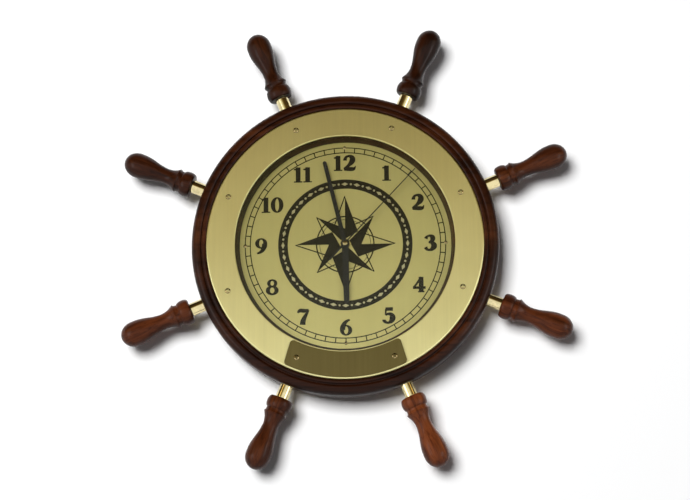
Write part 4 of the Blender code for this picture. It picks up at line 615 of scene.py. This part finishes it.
def make_bezel(brass):
    """The brushed brass ring, with its edges rubbed round."""
    inner, outer, chamfer = 0.0004, 0.0015, 0.0001
    section = [
        *arc((BEZEL_INSIDE + inner, inner), (inner, inner), 180, 270, 6),
        (BEZEL_INSIDE + 0.0007, 0.0),
        (BEZEL_OUTSIDE - 0.0018, 0.0),
        *arc((BEZEL_OUTSIDE - outer, outer), (outer, outer), -90, 0, 10),
        (BEZEL_OUTSIDE, BEZEL_THICKNESS - chamfer),
        (BEZEL_OUTSIDE - chamfer, BEZEL_THICKNESS),
        (BEZEL_INSIDE + chamfer, BEZEL_THICKNESS),
        (BEZEL_INSIDE, BEZEL_THICKNESS - chamfer),
        (BEZEL_INSIDE, inner),
    ]
    ring = lathed("bezel_brushed", section, 192, 24.0)
    fitted(ring, brass, stands_for=["bezel_ring"])


def make_screws(bezel_finish, plate_finish):
    """Domed screws with a cross recess, each turned its own way."""
    seat, shank = -0.0003, 0.0014
    head = arc((0.0, seat), (0.0028, -0.0011), 90, 8, 9)
    section = [*head, (0.00276, seat), (shank, seat), (shank, 0.0106), (0.0, 0.0120)]
    screw = lathed("screw_pattern", section, 32, 34.0)
    cut_cross(screw, -0.0015, (0.0044, 0.0036, 0.00145))
    bezel_numbers, plate_numbers = iter(range(1, 7)), iter(range(1, 3))
    for index in range(SPOKES):
        if index in (3, 4):
            number = next(plate_numbers)
            name, node = f"plate_screw_{number}", f"name_plate_screw_{number}"
            lift, finish = PLATE_LIFT, plate_finish
        else:
            number = next(bezel_numbers)
            name, node = f"bezel_screw_head_{number}", f"bezel_screw_{number}"
            lift, finish = 0.0, bezel_finish
        x, z = clock_point(SCREW_CIRCLE, FIRST_SPOKE + TURN * index / SPOKES)
        twin = copied(screw, name, math.radians(17 + 37 * index), (x, lift, z))
        fitted(twin, finish, stands_for=[node])
    scrap(screw)


def make_name_plate(brass):
    """The bare plate at the foot of the bezel, with straight leaning ends."""
    outer, inner, corner, half_width = 0.1422, 0.1156, 0.0038, 0.0243
    lean, reach = math.radians(16.6), half_width - corner
    low = lean + math.asin(reach / (outer - corner))
    high = lean + math.asin(reach / (inner + corner))
    low_centre = clock_point(outer - corner, math.pi - low)
    high_centre = clock_point(inner + corner, math.pi - high)
    low, high, lean = math.degrees(low), math.degrees(high), math.degrees(lean)
    right = [
        *arc((0, 0), (outer, outer), -90, low - 90, 24),
        *arc(low_centre, (corner, corner), low - 90, lean, 8)[1:],
        *arc(high_centre, (corner, corner), lean, high + 90, 8),
        *arc((0, 0), (inner, inner), high - 90, -90, 20)[1:],
    ]
    outline = right + [(-x, z) for x, z in reversed(right[1:-1])]
    plate = cut_from_sheet("name_plate_blank", outline, PLATE_FRONT, PLATE_BACK)
    ease_edges(plate, 0.00016, 40)
    fitted(plate, brass, stands_for=["name_plate"])


# The dial


def make_glass_and_dial(glass, brass):
    """The pane and the dial plate."""
    section = [
        (0.0, GLASS_FRONT),
        (GLASS_RADIUS, GLASS_FRONT),
        (GLASS_RADIUS, GLASS_BACK),
        (0.0, GLASS_BACK),
    ]
    pane = lathed("glass_pane", softened(section, 0.0003), 128)
    fitted(pane, glass, stands_for=["glass"])
    section = [
        (BUSH_HOLE, DIAL_DEPTH),
        (DIAL_RADIUS, DIAL_DEPTH),
        (DIAL_RADIUS, DIAL_BACK),
        (BUSH_HOLE, DIAL_BACK),
        (BUSH_HOLE, DIAL_DEPTH),
    ]
    plate = lathed("dial_face", softened(section, 0.0001), 160)
    fitted(plate, brass, stands_for=["dial_plate"])


def printed_ring(name, inner, outer, steps=160):
    """A printed circle line."""
    front, back = DIAL_DEPTH - PRINT_HEIGHT, DIAL_DEPTH + PRINT_HEIGHT
    section = [(inner, front), (outer, front), (outer, back), (inner, back), (inner, front)]
    return lathed(name, section, steps)


def printed_shape(name, outline, height=PRINT_HEIGHT):
    """A printed flat shape."""
    return cut_from_sheet(name, outline, DIAL_DEPTH - height, DIAL_DEPTH + PRINT_HEIGHT)


def make_track(ink):
    """The minute track: two circles and sixty ticks."""
    inner, outer, half = TRACK_INSIDE, TRACK_OUTSIDE, 0.00054
    pieces = [
        printed_ring("track_inner", inner - half, inner + half),
        printed_ring("track_outer", outer - half, outer + half),
    ]
    tick = printed_shape("tick", [(-half, inner), (half, inner), (half, outer), (-half, outer)])
    for minute in range(60):
        pieces.append(copied(tick, "minute_tick", TURN * minute / 60))
    scrap(tick)
    fitted(joined("minute_track", pieces), ink)


def smooth_line(points, steps=5):
    """A smooth line through (x, z, half width) points."""
    result = []
    last = len(points) - 1
    for index in range(last):
        p0, p1 = Vector(points[max(index - 1, 0)]), Vector(points[index])
        p2, p3 = Vector(points[index + 1]), Vector(points[min(index + 2, last)])
        for step in range(steps):
            t = step / steps
            curve = 2 * p1 + (p2 - p0) * t
            curve += (2 * p0 - 5 * p1 + 4 * p2 - p3) * t**2
            curve += (3 * p1 - p0 - 3 * p2 + p3) * t**3
            result.append(curve / 2)
    result.append(Vector(points[-1]))
    return result


def stroke_outline(points, smooth=True, weight=1.0):
    """The outline of a pen stroke of changing width."""
    line = smooth_line(points) if smooth else [Vector(point) for point in points]
    left, right = [], []
    for index, point in enumerate(line):
        before, after = line[max(index - 1, 0)], line[min(index + 1, len(line) - 1)]
        along = Vector((after.x - before.x, after.y - before.y)).normalized()
        side = Vector((-along.y, along.x)) * point.z * weight
        left.append((point.x + side.x, point.y + side.y))
        right.append((point.x - side.x, point.y - side.y))
    return left + right[::-1]


def ring_outlines(centre, outer, inner):
    """The outer and inner ovals of a bowl."""
    return arc(centre, outer, 0, 360, 40)[:-1], arc(centre, inner, 0, 360, 40)[:-1]


# A figure is 100 units high. A pen stroke has points of x, z and half width, and True where
# they are joined smoothly. A ring has its centre, outer radii and inner radii.
FIGURES = {
    "1": [
        ("pen", [(30, 2, 11), (30, 98, 11)], False),
        ("pen", [(3, 3, 3), (57, 3, 3)], False),
        ("pen", [(31, 94, 6), (18, 86, 5), (3, 84, 3)], True),
    ],
    "2": [
        ("pen", [(14, 66, 9), (15, 76, 8), (22, 89, 6), (38, 95, 6), (55, 88, 11), (61, 72, 13.5),
                 (54, 54, 12), (40, 38, 8), (24, 24, 6), (12, 14, 6)], True),
        ("pen", [(6, 9, 7), (24, 12, 10), (46, 10, 10), (66, 11, 9), (76, 20, 4),
                 (79, 30, 2)], True),
    ],
    "3": [
        ("pen", [(14, 76, 9), (20, 88, 6), (36, 95, 5.5), (52, 88, 11), (56, 74, 12), (48, 60, 8),
                 (32, 53, 4)], True),
        ("pen", [(30, 53, 4), (48, 51, 8), (62, 38, 13), (62, 24, 13.5), (50, 9, 9), (32, 4, 5.5),
                 (18, 10, 7), (11, 22, 9)], True),
    ],
    "4": [
        ("pen", [(54, 0, 11), (54, 97, 11)], False),
        ("pen", [(54, 97, 5), (40, 74, 5), (22, 48, 4.5), (6, 30, 4.5)], True),
        ("pen", [(3, 29, 6), (82, 29, 6)], False),
        ("pen", [(34, 3, 3), (74, 3, 3)], False),
    ],
    "5": [
        ("pen", [(20, 52, 4), (23, 90, 4.5)], False),
        ("pen", [(20, 90, 8), (66, 90, 8.5)], False),
        ("pen", [(21, 52, 4), (38, 60, 6), (56, 54, 10), (63, 36, 14), (56, 16, 11), (40, 5, 6),
                 (24, 6, 6), (12, 16, 8), (11, 24, 8)], True),
    ],
    "6": [
        ("ring", (40, 32), (38, 34), (13, 24)),
        ("pen", [(18, 34, 12), (20, 52, 12), (30, 74, 9.5), (46, 90, 6.5), (64, 97, 4)], True),
    ],
    "7": [
        ("pen", [(6, 74, 4), (10, 84, 7), (22, 90, 9), (44, 88, 9), (72, 92, 6)], True),
        ("pen", [(70, 92, 5), (58, 68, 7), (44, 42, 10), (36, 20, 12), (34, 0, 13)], True),
    ],
    "8": [
        ("ring", (40, 73), (32, 26), (11, 15)),
        ("ring", (40, 28), (40, 31), (14, 18)),
    ],
    "9": [
        ("ring", (40, 66), (38, 34), (13, 24)),
        ("pen", [(62, 64, 12), (60, 46, 12), (50, 24, 9.5), (34, 9, 6.5), (14, 2, 4)], True),
    ],
    "0": [
        ("ring", (40, 49), (40, 51), (12, 41)),
    ],
}
FIGURE_WIDTHS = dict(zip("1234567890", (60, 82, 76, 84, 76, 78, 76, 80, 78, 80)))
FIGURE_SIZE = 0.0167
FIGURE_UNIT = FIGURE_SIZE / 100
FIGURE_WEIGHT = 1.36
NUMERAL_RADIUS = 0.088


def make_figure(name, figure, left, foot):
    """One numeral from its pen strokes and bowls, at a lower left corner."""

    def on_dial(outline):
        return [(left + x * FIGURE_UNIT, foot + z * FIGURE_UNIT) for x, z in outline]

    whole = None
    for kind, *shape in FIGURES[figure]:
        if kind == "pen":
            points, smooth = shape
            outline = stroke_outline(points, smooth, FIGURE_WEIGHT)
            part = printed_shape("pen_stroke", on_dial(outline))
        else:
            outer_line, inner_line = ring_outlines(*shape)
            part = printed_shape("bowl", on_dial(outer_line))
            front, back = DIAL_DEPTH - MM, DIAL_DEPTH + MM
            carve(part, cut_from_sheet("hollow", on_dial(inner_line), front, back))
        whole = carve(whole, part, "UNION") if whole else part
    whole.name = name
    return whole


def make_numerals(ink):
    """The hours one to twelve, upright on their circle."""
    pieces = []
    for hour in range(1, 13):
        x, z = clock_point(NUMERAL_RADIUS, TURN * hour / 12)
        figures = str(hour)
        width = sum(FIGURE_WIDTHS[figure] for figure in figures) * FIGURE_UNIT
        left = x - width / 2
        for figure in figures:
            pieces.append(make_figure("figure", figure, left, z - FIGURE_SIZE / 2))
            left += FIGURE_WIDTHS[figure] * FIGURE_UNIT
    fitted(joined("hour_numerals", pieces), ink)


def make_rose(ink, pale):
    """A compass rose inside a dark band set with beads and lozenges."""
    band = printed_ring("compass_band", 0.060, 0.070)
    fitted(band, ink)
    middle, wide, high, bead_radius = 0.065, 0.0036, 0.0018, 0.00115
    raised = 2.2 * PRINT_HEIGHT
    diamond = [(-wide, middle), (0, middle + high), (wide, middle), (0, middle - high)]
    lozenge = printed_shape("lozenge", diamond, raised)
    circle = arc((0, middle), (bead_radius, bead_radius), 0, 360, 16)[:-1]
    bead = printed_shape("bead", circle, raised)
    beads = []
    count = 32
    for index in range(count):
        beads.append(copied(lozenge, "band_lozenge", TURN * index / count))
        beads.append(copied(bead, "band_bead", TURN * (index + 0.5) / count))
    scrap(lozenge)
    scrap(bead)
    fitted(joined("band_beads", beads), pale)

    star = []
    line = 0.0006
    for length, waist, root, turned in (
        (0.052, 0.0135, 0.006, 0.0),
        (0.042, 0.0120, 0.0, math.pi / 4),
    ):
        for quarter in range(4):
            angle = turned + quarter * math.pi / 2
            dark_half = printed_shape("point_dark", [(0, root), (waist, waist), (0, length)])
            star.append(copied(dark_half, "rose_point", angle))
            scrap(dark_half)
            edge = stroke_outline([(-waist, waist, line), (0, length, line)], False)
            pale_half = printed_shape("point_edge", edge)
            star.append(copied(pale_half, "rose_edge", angle))
            scrap(pale_half)
    star.append(printed_ring("rose_circle", 0.0292, 0.0306, 96))
    star.append(printed_ring("rose_thin_circle", 0.0263, 0.0268, 96))
    fitted(joined("compass_rose", star), ink)


def make_dial_pins(brass):
    """Four small round-headed pins on the track."""
    base = DIAL_DEPTH - 0.0001
    head = arc((0.0, base), (0.0019, -0.0008), 90, 0, 6)
    pin = lathed("pin_pattern", [*head, (0.0006, base), (0.0006, 0.0172), (0.0, 0.0176)], 20)
    for quarter in range(4):
        x, z = clock_point(TRACK_OUTSIDE, TURN * quarter / 4)
        twin = copied(pin, f"dial_pin_{quarter + 1}", 0.0, (x, 0, z))
        fitted(twin, brass)
    scrap(pin)


# The hands


def at_height(height):
    """The depth of a height above the dial."""
    return DIAL_DEPTH - height


def make_hand(hand, outlines, hub, hole, heights, angle, finish):
    """A flat hand with a round hub and a hole, stamped with eased edges.

    The first word of `hand` says which hand it is and the second what its blade is called.
    """
    kind, blade_name = hand
    back, front = (at_height(height) for height in heights)
    whole = cut_from_sheet("hub", arc((0, 0), (hub, hub), 0, 360, 40)[:-1], front, back)
    for outline in outlines:
        whole = carve(whole, cut_from_sheet("blade", outline, front, back), "UNION")
    circle = arc((0, 0), (hole, hole), 0, 360, 32)[:-1]
    carve(whole, cut_from_sheet("drill", circle, front - MM, back + MM))
    only(whole)
    ease_edges(whole, 0.00009, 50)
    twin = copied(whole, f"{kind}_hand_{blade_name}", angle)
    scrap(whole)
    fitted(twin, finish, f"{kind}_hand_arbor", [f"{kind}_hand"])


def blade(length, root_width, tip_width, point=1.0):
    """A tapering blade with a rounded tip."""
    half = tip_width / 2
    tip = arc((0, length - half * point), (half, half * point), 0, 180, 14)
    return [(root_width / 2, 0.0), *tip, (-root_width / 2, 0.0)]


def make_hands(paint, brass):
    """The three hands at 5:57:46 with the seconds at 7, and what holds them."""
    minutes, seconds = 57.77, 7.2
    hours = 5 + minutes / 60
    make_hand(
        ("hour", "blade"), [blade(0.063, 0.0070, 0.0058, 1.15)],
        0.0047, 0.00262, (0.0032, 0.0036), TURN * hours / 12, paint,
    )
    make_hand(
        ("minute", "blade"), [blade(0.0915, 0.0045, 0.0043)],
        0.0043, 0.00172, (0.0045, 0.0049), TURN * minutes / 60, paint,
    )
    tail = [(-x, -z) for x, z in blade(0.024, 0.0017, 0.0024)]
    make_hand(
        ("second", "needle"), [blade(0.1085, 0.00126, 0.0009), tail],
        0.0019, 0.0006, (0.0062, 0.0069), TURN * seconds / 60, paint,
    )
    cap_foot = at_height(0.0070)
    dome = arc((0.0, cap_foot), (0.0026, -0.0006), 90, 0, 8)
    cap = lathed("second_hand_button", [*dome, (0.0, cap_foot)], 36)
    fitted(cap, brass, "second_hand_arbor", ["second_hand_cap"])
    nut_front, nut_back = at_height(0.0059), at_height(0.0052)
    bore, outside = 0.0017, 0.0024
    section = [(bore, nut_front), (outside, nut_front), (outside, nut_back), (bore, nut_back)]
    section = softened(section, 0.00012, 2, closed=True)
    nut = lathed("minute_nut", section + section[:1], 32)
    fitted(nut, brass, "minute_hand_arbor", ["minute_hand_nut"])


# The rear


def countersunk_screw(name, head, neck, shank, seat, tip):
    """A countersunk screw with a cross recess, pointing at the front."""
    section = [
        (0.0, seat),
        (head * 0.97, seat),
        (head, seat - 0.0001),
        (shank, seat - neck),
        (shank, tip + shank),
        (0.0, tip),
    ]
    screw = lathed(name, section, 32, 34.0)
    cut_cross(screw, seat, (head * 1.15, neck * 0.9, head * 0.22))
    return screw


def make_rear_screws(steel):
    """The screws of the back ring and of the hanger plate."""
    seat = WALL_DEPTH - 0.0003
    long_screw = countersunk_screw("ring_screw_pattern", 0.0039, 0.0023, 0.00195, seat, 0.0221)
    for number in range(1, 5):
        x, z = clock_point(BACK_RING_MIDDLE, math.pi / 4 + TURN * (number - 1) / 4)
        twin = copied(long_screw, f"back_ring_screw_{number}", 0.4 * number, (x, 0, z))
        fitted(twin, steel)
    scrap(long_screw)
    short_screw = countersunk_screw("hanger_screw_pattern", 0.0025, 0.0014, 0.00125, seat, 0.0317)
    for number, x in ((1, -HANGER_SCREW_OFFSET), (2, HANGER_SCREW_OFFSET)):
        place = (x, 0, BACK_RING_MIDDLE)
        twin = copied(short_screw, f"hanger_screw_{number}", 0.5 * number, place)
        fitted(twin, steel)
    scrap(short_screw)


def dress_nodes(table):
    """Give the solids that stay their finishes."""
    for finish, nodes in table:
        for name in nodes:
            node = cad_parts[name]
            node.data.materials.clear()
            node.data.materials.append(finish)


# Stage


def make_wall():
    """A white wall just behind the clock, seen only from its front."""
    bpy.ops.object.select_all(action="DESELECT")
    place = at(0, WALL_DEPTH + 0.0006, 0)
    bpy.ops.mesh.primitive_plane_add(size=6.0, location=place, rotation=(math.pi / 2, 0, 0))
    wall = bpy.context.object
    wall.name = "wall"
    bpy.ops.object.transform_apply(location=True, rotation=True, scale=True)
    finish = Finish("white_wall", (0.93, 0.93, 0.93), 0.9)
    finish.set("Specular IOR Level", 0.0)
    rays = finish.add("ShaderNodeLightPath").outputs
    side = finish.add("ShaderNodeNewGeometry").outputs
    hidden = any_of(
        finish.tree, rays["Is Shadow Ray"], side["Backfacing"], rays["Is Diffuse Ray"]
    )
    clear = finish.add("ShaderNodeBsdfTransparent")
    painted = finish.shader.outputs["BSDF"]
    switched(finish.tree, hidden, painted, clear.outputs["BSDF"], "Material Output")
    wall.data.materials.append(finish.material)


def soft_lamp(name, place, aim, size, power, colour=(1, 1, 1), height=None):
    """A soft box at a place, facing a point."""
    lamp = bpy.data.lights.new(name, "AREA")
    lamp.shape = "RECTANGLE"
    lamp.size = size
    lamp.size_y = height or size
    lamp.energy = power
    lamp.color = colour
    holder = bpy.data.objects.new(name, lamp)
    bpy.context.collection.objects.link(holder)
    holder.location = place
    holder.rotation_euler = (Vector(aim) - Vector(place)).to_track_quat("-Z", "Y").to_euler()
    return holder


def toward(azimuth, elevation, distance):
    """A point at a distance from the clock; azimuth 0 is straight in front."""
    azimuth, elevation = math.radians(azimuth), math.radians(elevation)
    return at(0, 0, 0) + distance * Vector((
        math.sin(azimuth) * math.cos(elevation),
        -math.cos(azimuth) * math.cos(elevation),
        math.sin(elevation),
    ))


def light_the_room():
    """A studio with a white floor, a dark ceiling, a large lamp and soft boxes at the sides."""
    world = bpy.data.worlds.new("studio")
    bpy.context.scene.world = world
    world.use_nodes = True
    tree = world.node_tree
    background = tree.nodes["Background"]
    coordinates = tree.nodes.new("ShaderNodeTexCoord")
    split = tree.nodes.new("ShaderNodeSeparateXYZ")
    tree.links.new(coordinates.outputs["Generated"], split.inputs["Vector"])
    height = tree.nodes.new("ShaderNodeMapRange")
    height.inputs["From Min"].default_value = -1.0
    height.inputs["From Max"].default_value = 1.0
    tree.links.new(split.outputs["Z"], height.inputs["Value"])
    stops = [
        (0.00, (1.00, 1.00, 1.00)),
        (0.57, (1.00, 1.00, 1.00)),
        (0.60, (0.67, 0.64, 0.47)),
        (0.62, (0.42, 0.375, 0.20)),
        (0.65, (0.225, 0.150, 0.058)),
        (0.71, (0.08, 0.050, 0.018)),
        (1.00, (0.03, 0.022, 0.014)),
    ]
    background.inputs["Color"].default_value = (0.088, 0.089, 0.091, 1.0)
    seen = tree.nodes.new("ShaderNodeBackground")
    tree.links.new(ramp_on(tree, height.outputs["Result"], stops), seen.inputs["Color"])
    rays = tree.nodes.new("ShaderNodeLightPath").outputs
    shown = any_of(
        tree, rays["Is Camera Ray"], rays["Is Glossy Ray"], rays["Is Transmission Ray"]
    )
    switched(tree, shown, background.outputs[0], seen.outputs[0], "World Output")
    centre = at(0, 0, 0)
    key = soft_lamp("key", toward(-18, 12, 5.0), centre, 2.30, 306.0)
    key.visible_glossy = False
    key.visible_transmission = False
    soft_lamp("rear_fill", toward(155, 20, 3.0), centre, 1.6, 78.0)
    warm = (1.0, 0.73, 0.32)
    for name, azimuth, width, low_power, high_power in (
        ("left", -48, 0.45, 4.0, 0.6),
        ("right", 54, 0.40, 4.0, 0.6),
    ):
        place = toward(azimuth, -9, 1.6)
        low = soft_lamp(f"{name}_low_box", place, centre, width, low_power, height=0.90)
        place = toward(azimuth, 15.5, 1.6)
        high = soft_lamp(f"{name}_high_box", place, centre, width, high_power, warm, 0.36)
        low.visible_diffuse = False
        high.visible_diffuse = False


def set_camera():
    """The photograph's view, from a little below and almost straight on."""
    centre = at(0, 0, 0)
    place = toward(2.707, -13.670, 1.9037)
    back = (toward(2.697, -13.400, 1.0) - centre).normalized()
    right = Vector((0, 0, 1)).cross(back).normalized()
    up = back.cross(right)
    roll = math.radians(-0.472)
    across = right * math.cos(roll) + up * math.sin(roll)
    upward = up * math.cos(roll) - right * math.sin(roll)
    camera = bpy.data.cameras.new("camera")
    camera.lens = 96.036
    camera.sensor_width = 36.0
    holder = bpy.data.objects.new("camera", camera)
    bpy.context.collection.objects.link(holder)
    turn = Matrix((across, upward, back)).transposed()
    holder.matrix_world = Matrix.Translation(place) @ turn.to_4x4()
    bpy.context.scene.camera = holder


# The clock

SCREW_COLOUR, SCREW_ROUGHNESS = (0.42, 0.32, 0.15), 0.13

bright_brass = polished_brass("bright_brass", (0.86, 0.74, 0.41), 0.06)
pin_brass = polished_brass("pin_brass", (0.50, 0.40, 0.19), 0.13)
# From this depth inward the screws' cross recesses get painted shade.
recess_shade_from = FACE_Y - 0.0006
screw_brass = polished_brass("screw_brass", SCREW_COLOUR, SCREW_ROUGHNESS, recess_shade_from)
plate_screw_brass = polished_brass(
    "plate_screw_brass", SCREW_COLOUR, SCREW_ROUGHNESS, recess_shade_from + PLATE_LIFT
)
bezel_brass = brushed_brass("bezel_brass", (0.83, 0.785, 0.400), 0.42, 0.04)
plate_brass = brushed_brass("plate_brass", (0.165, 0.135, 0.050), 0.45, 0.10)
dial_brass = brushed_brass("dial_sheet", (0.65, 0.575, 0.235), 0.46, 0.04, metallic=0.8)
rim_wood = varnished_wood("rim_wood", (0, math.pi / 2, 0), (0.4, 0.2, 0.1), 0.30)
hand_paint = black_paint("hand_paint", (0.004, 0.004, 0.004), 0.45, 0.25)
dial_ink = black_paint("dial_ink", (0.005, 0.004, 0.002), 0.55, 0.10)
dial_reserve = brushed_brass("dial_reserve", (0.62, 0.58, 0.36), 0.42, 0.05)

make_rim(rim_wood)
make_spokes(bright_brass)
make_bezel(bezel_brass)
make_screws(screw_brass, plate_screw_brass)
make_name_plate(plate_brass)
make_glass_and_dial(window_glass("window_glass"), dial_brass)
make_track(dial_ink)
make_numerals(dial_ink)
make_rose(dial_ink, dial_reserve)
make_dial_pins(pin_brass)
make_hands(hand_paint, pin_brass)
make_rear_screws(plain_steel("screw_steel", (0.62, 0.61, 0.58), 0.28))

black_case = moulded_plastic("black_case", (0.022, 0.022, 0.024))
white_gear = moulded_plastic("white_gear", (0.72, 0.71, 0.66), 0.35, 0.000008)
dress_nodes([
    (rim_wood, ["back_ring"]),
    (plain_steel("hanger_steel"), [
        "hanger_plate", "positive_contact", "negative_contact", "stator", "coil_core",
    ]),
    (bright_brass, ["threaded_bush", "hex_nut"]),
    (moulded_plastic("washer_rubber", (0.02, 0.02, 0.02), 0.75), ["rubber_washer"]),
    (black_case, ["movement_case", "movement_back_cover", "setting_knob"]),
    (white_gear, [
        "train_plate", "coil_bobbin", "minute_pipe", "hour_wheel", "minute_wheel", "second_wheel",
        "third_wheel", "centre_wheel", "intermediate_wheel", "rotor_pinion",
    ]),
    (plain_steel("magnet_ferrite", (0.07, 0.07, 0.075), 0.45), ["rotor_magnet"]),
    (polished_brass("copper_wire", (0.70, 0.28, 0.12), 0.3), ["coil_winding"]),
    (moulded_plastic("circuit_board", (0.02, 0.15, 0.06), 0.5), ["circuit_board"]),
    (moulded_plastic("battery_sleeve", (0.03, 0.05, 0.12), 0.3), ["battery"]),
])

make_wall()
light_the_room()
set_camera()
bpy.context.scene.view_settings.view_transform = "Standard"
